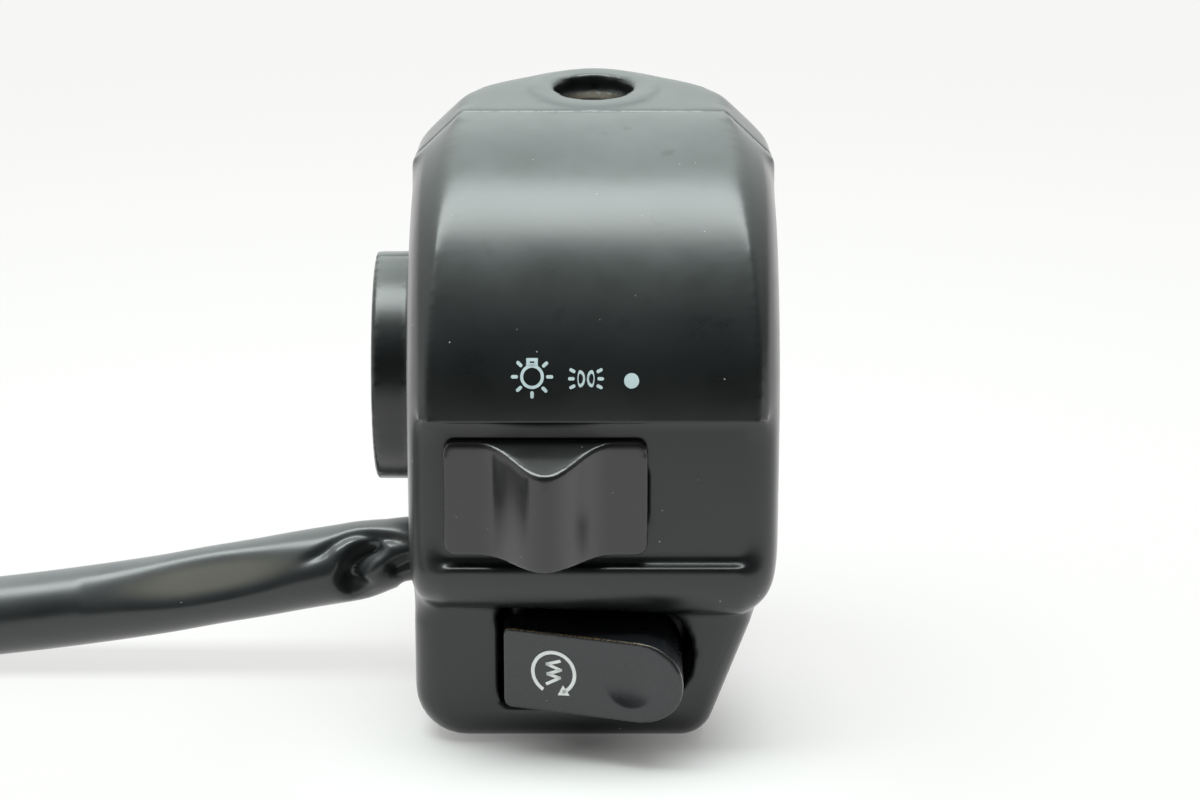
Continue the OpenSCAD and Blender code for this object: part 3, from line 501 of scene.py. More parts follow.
def foldLines():
    lines = []
    for depth, width, places in sleeveSet["folds"]:
        flat = [Vector((along, math.radians(angle) * sleeveSet["radiusMm"], 0)) for along, angle in places]
        lines.append((depth, width, smoothLine(flat, 0.5)))
    return lines


def foldDepth(line, spot):
    near, share = 1e9, 0.0
    for i in range(len(line) - 1):
        run = line[i + 1] - line[i]
        t = max(0.0, min(1.0, (spot - line[i]).dot(run) / run.length_squared))
        gap = (spot - line[i] - run * t).length
        if gap < near:
            near, share = gap, (i + t) / (len(line) - 1)
    return near, min(1.0, 5 * share + 0.15, 5 * (1 - share) + 0.15)


def sleeveSection(point, along, angle):
    s = sleeveSet
    run = along + s["startAlong"]  # distance from the exit
    radius = s["neckRadiusMm"] + (s["radiusMm"] - s["neckRadiusMm"]) * ramp(run, *s["neckRunMm"])
    if min(abs(point.y), abs(point.y + s["hankPitchMm"])) < 1:
        radius -= s["tiePinchMm"] * math.exp(-((point.x - s["tieX"]) / 3.4) ** 2)
    high, wide = radius * math.cos(angle), radius * math.sin(angle)
    for middle, half, facing, spread, dish in s["flats"]:
        window = 1 - ((run - middle) / half) ** 2
        if window > 0:
            nx, ny = math.cos(math.radians(facing)), math.sin(math.radians(facing))
            reach = high * nx + wide * ny
            limit = radius * math.cos(math.radians(spread * window)) - dish * window ** 2
            soft = s["edgeMm"] * math.log1p(math.exp(-abs(reach - limit) / s["edgeMm"]))
            cut = reach - (min(reach, limit) - soft)
            high, wide = high - nx * cut, wide - ny * cut
    if -2 < run < 20:
        for depth, width, line in s["foldLines"]:
            spot = Vector((run, angle * s["radiusMm"], 0))
            near, share = foldDepth(line, spot)
            if near < 3 * width:
                press = depth * share * math.exp(-(near / width) ** 2) / radius
                high, wide = high * (1 - press), wide * (1 - press)
    return high, wide


routePoints = [Vector((x, 0, sleeveSet["exitMm"][2] - sleeveSet["fallMm"] * fall))
               for x, fall in sleeveSet["route"]]
sleeveSet["startAlong"] = sleeveSet["exitMm"][0] - routePoints[0].x
sleeveSet["foldLines"] = foldLines()
sleeveLine = smoothLine(routePoints, sleeveSet["stepMm"])[:-1]
sleeveLine += smoothLine(routePoints[-1:] + hankPoints(), 1.5)
sleeve = sweepTube(
    "loomSleeve", sleeveLine, sleeveSet["sides"], sleeveSection, hollowMm=sleeveSet["hollowMm"])
markSurface(sleeve)
vinyl = finishMaterial("plasticisedPvcSleeve", {  # extruded: faint drawn lines, satin, slightly greasy
    "colours": ("#1c1e20", "#242627"), "roughness": (0.27, 0.35), "blotchMm": 7, "ior": 1.53,
    "uv": "along", "stretch": (0.06, 1, 1), "grainMm": (0.5, 0.004)})
# dust and painted sheen: a pale film along the sleeve's upper side
overlay(vinyl, dustAndSheenShare(vinyl, 0.36), "#a6aaaa", 0.38)
flatSheenSpots = [Vector((along * mm, angle / 360 * girthUv, 0))
            for along, angle in zip(sleeveSet["flatSheenMm"], sleeveSet["flatSheenAngle"])]
flatSheen = fit(vinyl["tree"], ringsRound(vinyl["tree"], vinyl["place"], *flatSheenSpots), *sleeveSet["flatSheenFade"],
          sleeveSet["flatSheenShare"], smooth=True)
# painted sheen: a lighter brown patch where the first flat faces up
overlay(vinyl, flatSheen, "#6e6a60", 0.42)
overlay(vinyl, dustShare(vinyl, 2.6, 0.09, 0.3), "#7d7b75", 0.8)
dress(sleeve, "loomSleeve", "housing", vinyl,
      ("harness_sleeve", "harness_hank"), 60)


# Leads: PVC insulated wire, one colour each, moulded smooth with a soft gloss
leadSet = {
    "radiusMm": 0.7,
    "colours": {"blue": "#2b5fae", "red": "#b3261e", "brown": "#6a4326", "green": "#2f7d3b",
                "black": "#202124", "yellow": "#d8b63a"},
    # inner routes repeat the solids' points, in mm
    "inner": {
        "lead_head": ("blue", [(-12.3, -1.6, -22.2), (-11, -3.4, -20.5), (-9.2, -8, -17.5),
                               (-7.8, -12.5, -12.85), (-7.55, -13.7, -8.85), (-7.55, -13.7, -4.9)]),
        "lead_feed": ("red", [(-12.3, 0.2, -21.4), (-10.5, -3, -18.8), (-6, -8.5, -16),
                              (-3.4, -12.5, -12.35), (-3.05, -13.7, -8.85), (-3.05, -13.7, -4.9)]),
        "lead_tail": ("brown", [(-12.3, -2, -24.6), (-9.5, -4, -21.3), (-4, -8, -18.8),
                                (1, -11.7, -14.45), (1.45, -13.7, -8.85), (1.45, -13.7, -4.9)]),
        "lead_start": ("green", [(-12.3, -0.4, -25.9), (-9, -0.9, -27), (-5, -1.2, -27.3),
                                 (-2.4, -2.2, -27.3), (-1.4, -3.08, -27.3)]),
        "lead_relay": ("black", [(-12.3, 1.6, -24.4), (-9, 1.7, -24.6), (-5, 1.6, -25.5),
                                 (0, 1, -26.3), (3.2, -1.2, -27.3), (4.4, -3.08, -27.3)])},
    "plugX": -151.9, "plugY": -19.5, "plugFootZ": -37.9, "plugColMm": 5, "plugRowsMm": (3.9, 9.1),
    "fan": [(-2, -1.6), (0, -2.3), (2, -1.6), (-2, 1.2), (0, 2.2), (2, 1.2)],
    "insideMm": 5,  # how far the plug's leads reach into the sleeve
}


def leadSection(point, along, angle):
    return leadSet["radiusMm"] * math.cos(angle), leadSet["radiusMm"] * math.sin(angle)


leadFinish = {}
for colourName, hexText in leadSet["colours"].items():
    made = finishMaterial("pvcInsulation" + colourName.title(), {
        "colours": (hexText, hexText), "roughness": (0.3, 0.42), "blotchMm": 3,
        "grainMm": (0.25, 0.006), "ior": 1.53})
    overlay(made, dustShare(made, 1.8, 0.08, 0.35), "#6f6a62", 0.8)
    leadFinish[colourName] = made
for node, (colourName, places) in leadSet["inner"].items():
    line = smoothLine([Vector(p) for p in places], 0.5)
    wire = sweepTube(node + "Wire", line, 16, leadSection, (1, 0.1, 0.1))
    dress(wire, node + "Wire", "housing", leadFinish[colourName], (node,), 60)
for i, (colourName, (fanY, fanZ)) in enumerate(zip(leadSet["colours"], leadSet["fan"])):
    start = Vector((sleeveSet["hankEndX"], -sleeveSet["hankPitchMm"] + fanY, routePoints[-1].z + fanZ))
    end = Vector((leadSet["plugX"], leadSet["plugY"] + (i % 3 - 1) * leadSet["plugColMm"],
                  leadSet["plugFootZ"] + leadSet["plugRowsMm"][i // 3]))
    places = [start + Vector((leadSet["insideMm"], 0, 0))]
    for k in range(9):
        t = k / 8
        ease = ramp(t, 0, 1)
        places.append(Vector((start.x + (end.x - start.x) * t, start.y + (end.y - start.y) * ease,
                              start.z + (end.z - start.z) * ease)))
    places.append(end + Vector((-2, 0, 0)))
    wire = sweepTube("plugWire", smoothLine(places, 0.6), 16, leadSection)
    dress(wire, "plugWire" + colourName.title(), "housing", leadFinish[colourName],
                           ("plug_leads",), 60)


# Cable tie: black nylon 6.6, moulded, with a ribbed strap and a locking head
tieSet = {
    "lowX": -124, "widthMm": 4, "outerMm": 4.8, "strapMm": 1.1, "pitchMm": 10.5, "axisZ": -33.15,
    "headMm": (5.6, 4.8, 4.0), "headSinkMm": 0.4, "ribs": 5, "ribStepMm": 0.62,
}
nylonBlack = finishMaterial("blackNylonTie", {  # moulded: satin with a faint grain
    "colours": ("#141416", "#1b1b1d"), "roughness": (0.38, 0.5), "blotchMm": 2.5,
    "grainMm": (0.3, 0.01), "ior": 1.53})


def makeTie():
    t = tieSet
    half = t["widthMm"] / 2
    middle = Vector((t["lowX"] + half, -t["pitchMm"] / 2, t["axisZ"] + t["outerMm"]))

    def boxAt(halfX, y, z):
        return startBox(middle + Vector((-halfX, y[0], z[0])), middle + Vector((halfX, y[1], z[1])))

    clearPick()
    bpy.ops.mesh.primitive_circle_add(
        vertices=64, radius=(t["outerMm"] - 0.05) * mm, rotation=(0, math.radians(90), 0),
        location=Vector((t["lowX"], middle.y, t["axisZ"])) * mm)
    strap = applyPlace(bpy.context.object)
    edit(strap, "VERT")
    for way in (-1, 1):  # pull the two halves apart, round both runs
        shape = bmesh.from_edit_mesh(strap.data)
        for vert in shape.verts:
            vert.select_set((vert.co.y - middle.y * mm) * way > 0.00001)
        bmesh.update_edit_mesh(strap.data)
        bpy.ops.transform.translate(value=(0, way * t["pitchMm"] / 2 * mm, 0))
    bpy.ops.mesh.select_all(action="SELECT")
    extrudeX(t["widthMm"] * mm)
    bpy.ops.mesh.select_all(action="SELECT")
    bpy.ops.mesh.subdivide(number_cuts=2)
    bpy.ops.mesh.normals_make_consistent(inside=False)
    leaveEdit()
    finishWith(strap, "SOLIDIFY", thickness=t["strapMm"] * mm, offset=-1)
    roundEdges(strap, 0.2, 2)
    wide, deep, tall = t["headMm"]
    head = boxAt(wide / 2, (-deep / 2, deep / 2), (-t["headSinkMm"], tall - t["headSinkMm"]))
    cutWith(head, boxAt(half, (-0.8, 0.9), (-1, tall)))
    roundEdges(head, 0.45, 3)
    teeth = [boxAt(half - 0.2, (-0.55, 0.5), (-0.6, 3.4))]
    for k in range(t["ribs"]):  # ribs across the strap's tail
        rise = t["ribStepMm"] * k
        teeth.append(boxAt(1.3, (0.45, 0.75), (0.1 + rise, 0.4 + rise)))
    return joinAll([strap, head, *teeth])


hankTie = dress(makeTie(), "hankTie", "housing", nylonBlack, ("hank_tie",))
print("tie made")


# Connector: natural nylon shell, moulded, slightly translucent and cream with age
plugSet = {
    "lowMm": (-178, -28, -37.9), "highMm": (-152, -11, -24.9), "skinMm": 1.3, "webMm": 12,
    "edgeMm": 0.5, "ribs": 3, "wayRadiusMm": 1.1,
}
nylonCream = finishMaterial("naturalNylonShell", {
    "colours": ("#ddd9cb", "#e9e6dc"), "roughness": (0.36, 0.5), "blotchMm": 6,
    "grainMm": (0.4, 0.01), "ior": 1.53})
nylonCream["shader"].inputs["Subsurface Weight"].default_value = 0.15
nylonCream["shader"].inputs["Subsurface Radius"].default_value = (0.002, 0.0018, 0.0014)
nylonCream["shader"].inputs["Subsurface Scale"].default_value = 0.5
overlay(nylonCream, dustShare(nylonCream, 2.2, 0.1, 0.3), "#8d8470", 0.8)


def makePlug():
    p = plugSet
    low, high = Vector(p["lowMm"]), Vector(p["highMm"])
    mid = (low + high) / 2
    shell = startBox(low, high)
    edit(shell)
    pickFaces(shell, lambda centre, normal: normal.x < -0.9)
    bpy.ops.mesh.inset(thickness=p["skinMm"] * mm, depth=0)
    extrudeX(p["webMm"] * mm)
    pickFaces(shell, lambda centre, normal: normal.x > 0.9 and centre.x > (high.x - 1) * mm)
    bpy.ops.mesh.inset(thickness=0.0009, depth=0)
    extrudeX(-0.0008)
    leaveEdit()
    for row in leadSet["plugRowsMm"]:
        for col in (-1, 0, 1):
            y, z = leadSet["plugY"] + col * leadSet["plugColMm"], low.z + row
            cutWith(shell, startRod((high.x - 2.5, y, z), (high.x + 1, y, z), p["wayRadiusMm"], 24))
            webX = low.x + p["webMm"]
            cutWith(shell, startBox((webX - 1, y - 1.05, z - 0.45), (webX + 4, y + 1.05, z + 0.45)))
    roundEdges(shell, p["edgeMm"], 3)
    arm = startBox((low.x + 3, mid.y - 3, high.z - 0.4), (high.x - 6, mid.y + 3, high.z + 1.4))
    edit(arm)
    pickFaces(arm, lambda centre, normal: normal.z > 0.9)
    bpy.ops.mesh.inset(thickness=0.0007, depth=-0.0004)
    leaveEdit()
    catch = startBox((low.x + 3, mid.y - 4, high.z - 0.4), (low.x + 5, mid.y + 4, high.z + 2.2))
    edit(catch, "EDGE")
    pickEdges(catch, lambda centre, way: (
        centre.x < (low.x + 3.1) * mm and centre.z > high.z * mm and abs(way.y) > 0.9))
    bpy.ops.mesh.bevel(offset=0.0012, segments=1)  # the ramp that rides over the mate
    leaveEdit()
    extras = [arm, catch]
    for k in range(p["ribs"]):  # finger ribs on both sides
        for way, face in ((-1, low.y), (1, high.y)):
            x = high.x - 4 - 2.2 * k
            extras.append(startBox((x - 0.5, min(face, face + way * 0.35), low.z + 2.5),
                                   (x + 0.5, max(face, face + way * 0.35), high.z - 2.5)))
    for extra in extras:
        roundEdges(extra, 0.15, 2, 40)
    return joinAll([shell, *extras])


plug = dress(makePlug(), "plugShell", "housing", nylonCream, ("plug_shell",))
print("connector made")


# Casing: die-cast halves under semi-gloss black stove enamel, soft at every edge
softMm = {  # where each softening sets in and where it is full, across, up and towards the rider
    "partingY": (-2.5, -5), "collarRadius": 15,
    "crown": ((14.2, 12.8), (4.3, 6)), "top": ((12, 14), (20, 27)),
    "low": ((16.5, 19), (3, 1)), "sideX": (19.3, 20.3), "sideZ": (-24, -20),
    "lip": ((-24, -22), (-18.6, -19.6)), "lipY": (-20, -24),
    "shoulderZ": (19, 23), "shoulderY": (1, 4), "padClear": (8, 10),
}
softShare = {"crown": 0.12, "top": 0.2, "lip": 0.05}


def rearSoft(spot):  # the sides are rounder than the steps
    s = softMm
    if spot.y > s["partingY"][0] or spot.yz.length < s["collarRadius"]:  # these stay sharp
        return 0
    wide = abs(spot.x)
    crown, top, low = (ramp(wide, *s[key][0]) * ramp(spot.z, *s[key][1]) for key in ("crown", "top", "low"))
    side = max(ramp(wide, *s["sideX"]), low) * ramp(spot.z, *s["sideZ"])
    lip = ramp(spot.z, *s["lip"][0]) * ramp(spot.z, *s["lip"][1]) * ramp(spot.y, *s["lipY"])
    most = max(softShare["crown"] * crown, softShare["top"] * top, side, softShare["lip"] * lip)
    return most * ramp(spot.y, *s["partingY"])


def frontSoft(spot):  # the shoulders, but not the pad around the mirror hole
    clear = math.hypot(spot.x, spot.y - castSet["mirrorForwardMm"])
    return (ramp(spot.z, *softMm["shoulderZ"]) * ramp(spot.y, *softMm["shoulderY"])
            * ramp(clear, *softMm["padClear"]))


castSet = {
    "rear": {"node": "rear_housing", "piece": "rearCasing", "voxelMm": 0.46, "smooth": 2,
             "softSteps": 260, "softTest": rearSoft},
    "front": {"node": "front_housing", "piece": "frontCasing", "voxelMm": 0.44, "smooth": 5,
              "softSteps": 70, "softTest": frontSoft},
    "mirrorTopMm": (0, 0, 31), "mirrorTilt": 4, "mirrorForwardMm": 8.5, "padMm": 0.3, "mouthMm": 2.4,
    "seatRadiusMm": 4.7, "dustAndSheenMm": (3, 12),  # dust and painted sheen lie above these heights, the steps below get neither
}


# Bare metal on the mirror hole's seat and below it
def markSeat(piece):
    c = castSet
    tilt = math.radians(c["mirrorTilt"])
    up = Vector((0, -math.sin(tilt), math.cos(tilt)))
    mouth = Vector(c["mirrorTopMm"]) + Vector((0, math.cos(tilt), math.sin(tilt))) * c["mirrorForwardMm"]
    bare = []
    for vert in piece.data.vertices:
        off = vert.co / mm - mouth
        depth = c["padMm"] - off.dot(up)
        away = (off - up * off.dot(up)).length
        bare.append(1.0 if abs(depth - c["mouthMm"]) < 0.35 and away < c["seatRadiusMm"] else 0.0)
    piece.data.attributes.new("bare", "FLOAT", "POINT").data.foreach_set("value", bare)


enamel = finishMaterial("blackStoveEnamel", {  # sprayed and baked: fine orange peel, soft gloss
    "colours": ("#131516", "#1a1c1d"), "roughness": (0.27, 0.34), "blotchMm": 9,
    "grainMm": (0.9, 0.006), "ior": 1.5})
# dust and painted sheen: a pale film on the paint wherever it faces up
overlay(enamel, dustAndSheenShare(enamel, 0.42), "#a2aaa8", 0.32)
overlay(enamel, stainShare(enamel, 4.2, 0.66, 0.74, 0.2), "#101112", 0.24)
overlay(enamel, rimShare(enamel, 0.2, 0.4, 0.25), "#6f706c", 0.5)
overlay(enamel, seamShare(enamel), "#9ba19e", 0.5)
overlay(enamel, dustShare(enamel, 2.3, 0.085, 0.4), "#a09d95", 0.85)
# the seat's bare metal, its colour painted dark for the shade down the hole
seat = attribute(enamel["tree"], "bare")
overlay(enamel, seat, "#38342f", 0.5)
enamel["tree"].links.new(seat, enamel["shader"].inputs["Metallic"])
casings = {}
for half in ("rear", "front"):
    item = castSet[half]
    casing = makeSoft(item, castSet["dustAndSheenMm"])
    if half == "front":
        markSeat(casing)
    casings[half] = dress(
        casing, item["piece"], "housing", enamel, (item["node"],), 0)


# Slider knob: gloss black ABS, moulded and handled; starter button: satin black nylon
gloss = finishMaterial("glossBlackAbs", {  # polished mould, fine wiping scratches
    "colours": ("#1c1d1c", "#232423"), "roughness": (0.15, 0.2), "blotchMm": 5, "grainMm": (0.16, 0.0012),
    "stretch": (1, 1, 0.12), "ior": 1.53})
overlay(gloss, dustShare(gloss, 1.7, 0.07, 0.4), "#8e8b84", 0.8)
satin = finishMaterial("satinBlackNylon", {  # lightly textured mould
    "colours": ("#1e2024", "#25272a"), "roughness": (0.22, 0.3), "blotchMm": 4,
    "grainMm": (0.22, 0.003), "ior": 1.53})
overlay(satin, rimShare(satin, 0.1, 0.24, 0.3), "#4b463f", 0.42)
onTop = fit(satin["tree"], attribute(satin["tree"], "facingUp"), 0.02, 0.25)
rubbed = reckon(satin["tree"], "MULTIPLY", rimShare(satin, 0.06, 0.2, 0.8), onTop)
overlay(satin, rubbed, "#a5864a", 0.35)  # the thumb's edge, worn brown
overlay(satin, dustShare(satin, 1.8, 0.07, 0.35), "#8e8b84", 0.8)
knobTop = {"startMm": (-29.45, 1.0), "slope": 20, "reachMm": (1.8, 1.0), "plateY": (-29.6, -30.1)}
buttonTip = {"x": (5, 8), "y": (-28, -29)}


def knobSoft(spot):  # the thumb's edge along the sloped top
    startY, startZ = knobTop["startMm"]
    below = startZ - (startY - spot.y) * math.tan(math.radians(knobTop["slope"])) - spot.z
    return ramp(below, *knobTop["reachMm"]) * ramp(spot.y, *knobTop["plateY"])


def buttonSoft(spot):  # the button's tip
    return ramp(spot.x, *buttonTip["x"]) * ramp(spot.y, *buttonTip["y"])


switchSet = {
    "knob": {"node": "light_knob", "piece": "sliderKnob", "body": "light_slider", "voxelMm": 0.17,
             "smooth": 8, "softSteps": 36, "softTest": knobSoft, "slot": "knob_plastic", "finish": gloss},
    "button": {"node": "starter_button", "piece": "starterButton", "body": "starter_lever", "voxelMm": 0.17,
               "smooth": 6, "softSteps": 44, "softTest": buttonSoft, "slot": "button_plastic",
               "finish": satin},
}
switches = {}
for key, item in switchSet.items():
    switches[key] = dress(
        makeSoft(item), item["piece"], item["body"], item["finish"], (item["node"],), 0)


# Printed symbols: pad-printed ink, a thin matt film with a slightly uneven edge
inkFinish = {"roughness": (0.5, 0.62), "blotchMm": 0.8, "grainMm": (0.18, 0.003), "ior": 1.5}
lampInk = finishMaterial("paleBlueWhiteInk", {"colours": ("#b7c9cd", "#c9d9dc"), **inkFinish})
startInk = finishMaterial("whiteInk", {"colours": ("#eef0ef", "#fafbfa"), **inkFinish})
symbolSet = {
    "lamp": {"placeMm": (-6.74, 8.28), "ringMm": (1.31, 0.97), "rayMm": (0.78, 0.38), "rayAtMm": 1.94,
             "rays": (0, 42, 136, 180, 222, 270, 315), "capMm": (1.3, 0.85), "capAtMm": 1.55,
             "slotMm": (0.5, 0.17)},
    "side": {"placeMm": (-0.785, 8.07), "lensMm": (0.56, 0.92), "holeMm": 0.2, "lensAtMm": 0.66,
             "flatSide": 0.5, "rayMm": (0.72, 0.36), "rays": ((1.62, 0), (1.5, 0.86), (1.5, -0.86)),
             "lean": 27},
    "off": {"placeMm": (4.25, 7.85), "dotMm": 0.83},
    "start": {"placeMm": (-4.5, -27.27), "ringMm": (2.7, 2.28), "gap": (238, 296), "strokeMm": 0.36,
              "bolt": ((0.71, 1.52), (-0.79, 1.01), (0.84, 0.44), (-0.71, -0.19), (0.71, -0.53),
                       (-0.79, -1.4)),
              "arrowAt": 304, "arrowMm": 1.15},
    "filmMm": 0.025, "liftMm": 0.012, "buttonLean": -17.42,
}


def flatRing(outer, inner, keep=None, stretch=(1, 1)):
    clearPick()
    bpy.ops.mesh.primitive_circle_add(vertices=72, radius=outer * mm, fill_type="NGON")
    ring = bpy.context.object
    editAll(ring)
    bpy.ops.mesh.inset(thickness=(outer - inner) * mm, depth=0)
    bpy.ops.mesh.delete(type="FACE")
    if keep:
        pickFaces(ring, lambda spot, normal: not keep(math.degrees(math.atan2(spot.y, spot.x)) % 360))
        bpy.ops.mesh.delete(type="FACE")
    leaveEdit()
    ring.scale = (*stretch, 1)
    return applyPlace(ring)


def flatBar(centre, size, turn=0, corner=0.45):
    clearPick()
    bpy.ops.mesh.primitive_plane_add(size=1)
    bar = bpy.context.object
    bar.scale = (size[0] * mm, size[1] * mm, 1)
    applyPlace(bar)
    editAll(bar, "VERT")
    bpy.ops.mesh.bevel(offset=min(size) * corner * mm, segments=4, affect="VERTICES")
    leaveEdit()
    bar.rotation_euler.z = math.radians(turn)
    bar.location = (centre[0] * mm, centre[1] * mm, 0)
    return applyPlace(bar)


def aroundAt(radius, angle):
    return radius * math.cos(math.radians(angle)), radius * math.sin(math.radians(angle))


def lampSymbol(s):
    parts = [flatRing(*s["ringMm"])]
    for angle in s["rays"]:
        parts.append(flatBar(aroundAt(s["rayAtMm"], angle), s["rayMm"], angle))
    wide, tall = s["capMm"]
    slotWide, slotTall = s["slotMm"]
    band = (tall - slotTall) / 2
    for way in (-1, 1):  # the bulb's cap, round its contact slot
        parts.append(flatBar((0, s["capAtMm"] + way * (slotTall + band) / 2), (wide, band), 0, 0.3))
        side = (wide - slotWide) / 2
        parts.append(flatBar((way * (slotWide + side) / 2, s["capAtMm"]), (side, slotTall), 0, 0.01))
    return joinAll(parts)


def sideSymbol(s):
    parts = []
    for way in (-1, 1):
        wide, tall = s["lensMm"]
        lens = flatRing(tall, tall - (wide - s["holeMm"]) * 1.05, None, (wide / tall, 1))
        for vert in lens.data.vertices:  # flat on its outer side
            if vert.co.x * way > 0:
                vert.co.x *= s["flatSide"]
            vert.co.x += way * s["lensAtMm"] * mm
        parts.append(lens)
        for x, y in s["rays"]:
            turn = way * math.copysign(s["lean"], y) if y else 0
            parts.append(flatBar((way * x, y), s["rayMm"], turn))
    return joinAll(parts)


def dotSymbol(s):
    return flatRing(s["dotMm"], s["dotMm"] * 0.02)


def startSymbol(s):
    low, high = s["gap"]
    parts = [flatRing(*s["ringMm"], keep=lambda angle: not low < angle < high)]
    for (x0, y0), (x1, y1) in zip(s["bolt"], s["bolt"][1:]):
        run = math.hypot(x1 - x0, y1 - y0) + s["strokeMm"] * 0.7
        turn = math.degrees(math.atan2(y1 - y0, x1 - x0))
        parts.append(flatBar(((x0 + x1) / 2, (y0 + y1) / 2), (run, s["strokeMm"]), turn, 0.2))
    clearPick()
    bpy.ops.mesh.primitive_circle_add(vertices=3, radius=s["arrowMm"] * 0.72 * mm, fill_type="NGON")
    arrow = bpy.context.object
    editAll(arrow, "VERT")
    bpy.ops.mesh.bevel(offset=0.00006, segments=2, affect="VERTICES")
    leaveEdit()
    x, y = aroundAt(sum(s["ringMm"]) / 2, s["arrowAt"] - 6)
    arrow.location = (x * mm, y * mm, 0)
    arrow.rotation_euler.z = math.radians(s["arrowAt"] - 180)
    parts.append(applyPlace(arrow))
    return joinAll(parts)


def printOn(flat, target, placeMm, name, body, finish, lean=0):
    editAll(flat)
    bpy.ops.mesh.quads_convert_to_tris()
    bpy.ops.mesh.subdivide(number_cuts=3)
    bpy.ops.mesh.remove_doubles(threshold=0.000004)
    leaveEdit()
    flat.rotation_euler = (math.radians(90), 0, math.radians(lean))
    flat.location = (placeMm[0] * mm, -0.045, placeMm[1] * mm)
    applyPlace(flat)
    finishWith(flat, "SHRINKWRAP", target=target, wrap_method="PROJECT", use_project_y=True,
               use_negative_direction=True, use_positive_direction=True)
    film = symbolSet["filmMm"] * mm
    finishWith(flat, "SOLIDIFY", thickness=film + 2 * symbolSet["liftMm"] * mm, offset=1)
    return dress(flat, name, body, finish, (), 30)


for key, maker, name in (("lamp", lampSymbol, "headlampSymbol"), ("side", sideSymbol, "sideLampSymbol"),
                         ("off", dotSymbol, "offSymbol")):
    printOn(maker(symbolSet[key]), casings["rear"], symbolSet[key]["placeMm"], name, "housing", lampInk)
printOn(startSymbol(symbolSet["start"]), switches["button"], symbolSet["start"]["placeMm"], "starterSymbol",
        "starter_lever", startInk, symbolSet["buttonLean"])
print("symbols printed")


# Screws: zinc-plated steel, rolled thread, pan head with a cross recess
zinc = finishMaterial("zincPlatedSteel", {
    "colours": ("#a9acae", "#c2c3c0"), "roughness": (0.28, 0.42), "blotchMm": 1.6,
    "grainMm": (0.2, 0.004), "metallic": 1.0})
screwSet = {  # piece, node, body, seats, shank radius, length, head radius and height, pitch
    "clampScrews": ("clamp_screws", "housing", ((11, 12, 20), (12, 12, -17.5)), 2.5, 24, 4.3, 3.4, 0.8),
    "lightBaseScrews": ("light_base_screws", "housing", ((-13, -17, -5.85), (12.5, -17, -5.85)),
                        1.5, 8, 2.7, 1.9, 0.5),
    "starterBaseScrews": ("starter_base_screws", "housing", ((-4.9, -5, -27.3), (7.9, -5, -27.3)),
                          1.25, 6, 2.1, 1.5, 0.45),
    "strapScrew": ("harness_clamp_screw", "housing", ((-15.25, 0.9, -31.4),), 1.5, 7, 2.6, 1.9, 0.5),
    "knobScrew": ("light_knob_screw", "light_slider", ((-5.3, -22.8, -5.85),), 1.1, 6, 2.2, 1.3, 0.4),
}


def helixRidge(seatMm, radiusMm, pitchMm, lengthMm, sides, wireMm, pointTurn, steps=20):
    clearPick()
    bpy.ops.mesh.primitive_circle_add(vertices=sides, radius=wireMm * mm, location=Vector(seatMm) * mm,
                                      rotation=(0, 0, math.radians(pointTurn)))
    ridge = bpy.context.object
    bpy.ops.object.transform_apply(location=False, rotation=True, scale=True)
    editAll(ridge, "VERT")
    bpy.ops.transform.translate(value=(radiusMm * mm, 0, 0))
    leaveEdit()
    turns = lengthMm / pitchMm
    finishWith(ridge, "SCREW", axis="Y", angle=2 * math.pi * turns, screw_offset=lengthMm * mm,
               steps=round(steps * turns), render_steps=round(steps * turns))
    closeEnds(ridge)
    return applyPlace(ridge)


def makeScrew(seatMm, radiusMm, lengthMm, headRadiusMm, headMm, pitchMm):
    seatAt = Vector(seatMm)
    head = startRod(seatAt, seatAt + Vector((0, headMm, 0)), headRadiusMm, 40)
    edit(head, "EDGE")
    pickEdges(head, lambda centre, way: centre.y > (seatAt.y + headMm) * mm - 1e-6)
    bpy.ops.mesh.bevel(offset=headMm * 0.42 * mm, segments=5)
    leaveEdit()
    wide, thin, deep = headRadiusMm * 0.55, headRadiusMm * 0.13, headMm * 0.55
    for x, z in ((wide, thin), (thin, wide)):
        cutWith(head, startBox(seatAt + Vector((-x, headMm - deep, -z)), seatAt + Vector((x, headMm + 1, z))))
    core = startRod(seatAt - Vector((0, lengthMm, 0)), seatAt + Vector((0, 0.1, 0)), radiusMm * 0.86, 32)
    thread = helixRidge(seatAt - Vector((0, lengthMm, 0)), radiusMm - pitchMm * 0.42, pitchMm,
                        lengthMm - headMm * 0.5, 3, pitchMm * 0.42, -90)
    return joinAll([head, core, thread])


for name, (node, body, seats, *sizes) in screwSet.items():
    first = makeScrew(seats[0], *sizes)
    copies = [copyAt(first, Vector(seatMm) - Vector(seats[0])) for seatMm in seats[1:]]
    dress(joinAll([first, *copies]), name, body, zinc, (node,), 30)
print("screws made")


# Springs: bright drawn spring wire, wound to a helix
springSteel = finishMaterial("drawnSpringWire", {
    "colours": ("#9fa1a3", "#b9bbbd"), "roughness": (0.22, 0.34), "blotchMm": 1.2,
    "grainMm": (0.15, 0.002), "metallic": 1.0})
springSet = {  # piece, node, body, foot of the axis, length, coil radius, wire radius, turns
    "detentSpring": ("detent_spring", "light_slider", (-5.3, -25.25, -10.45), 2.4, 0.9, 0.2, 4),
    "starterSpring": ("starter_spring", "housing", (1.5, -18.05, -27.3), 4.25, 2.5, 0.3, 4),
}
for name, (node, body, footMm, lengthMm, coilMm, wireMm, turns) in springSet.items():
    coil = helixRidge(footMm, coilMm, lengthMm / turns, lengthMm, 12, wireMm, 0, 32)
    dress(coil, name, body, springSteel, (node,), 60)
    if name == "starterSpring":
        spring = coil
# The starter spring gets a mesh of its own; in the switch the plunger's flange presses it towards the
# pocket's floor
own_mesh(spring)
print("springs wound")


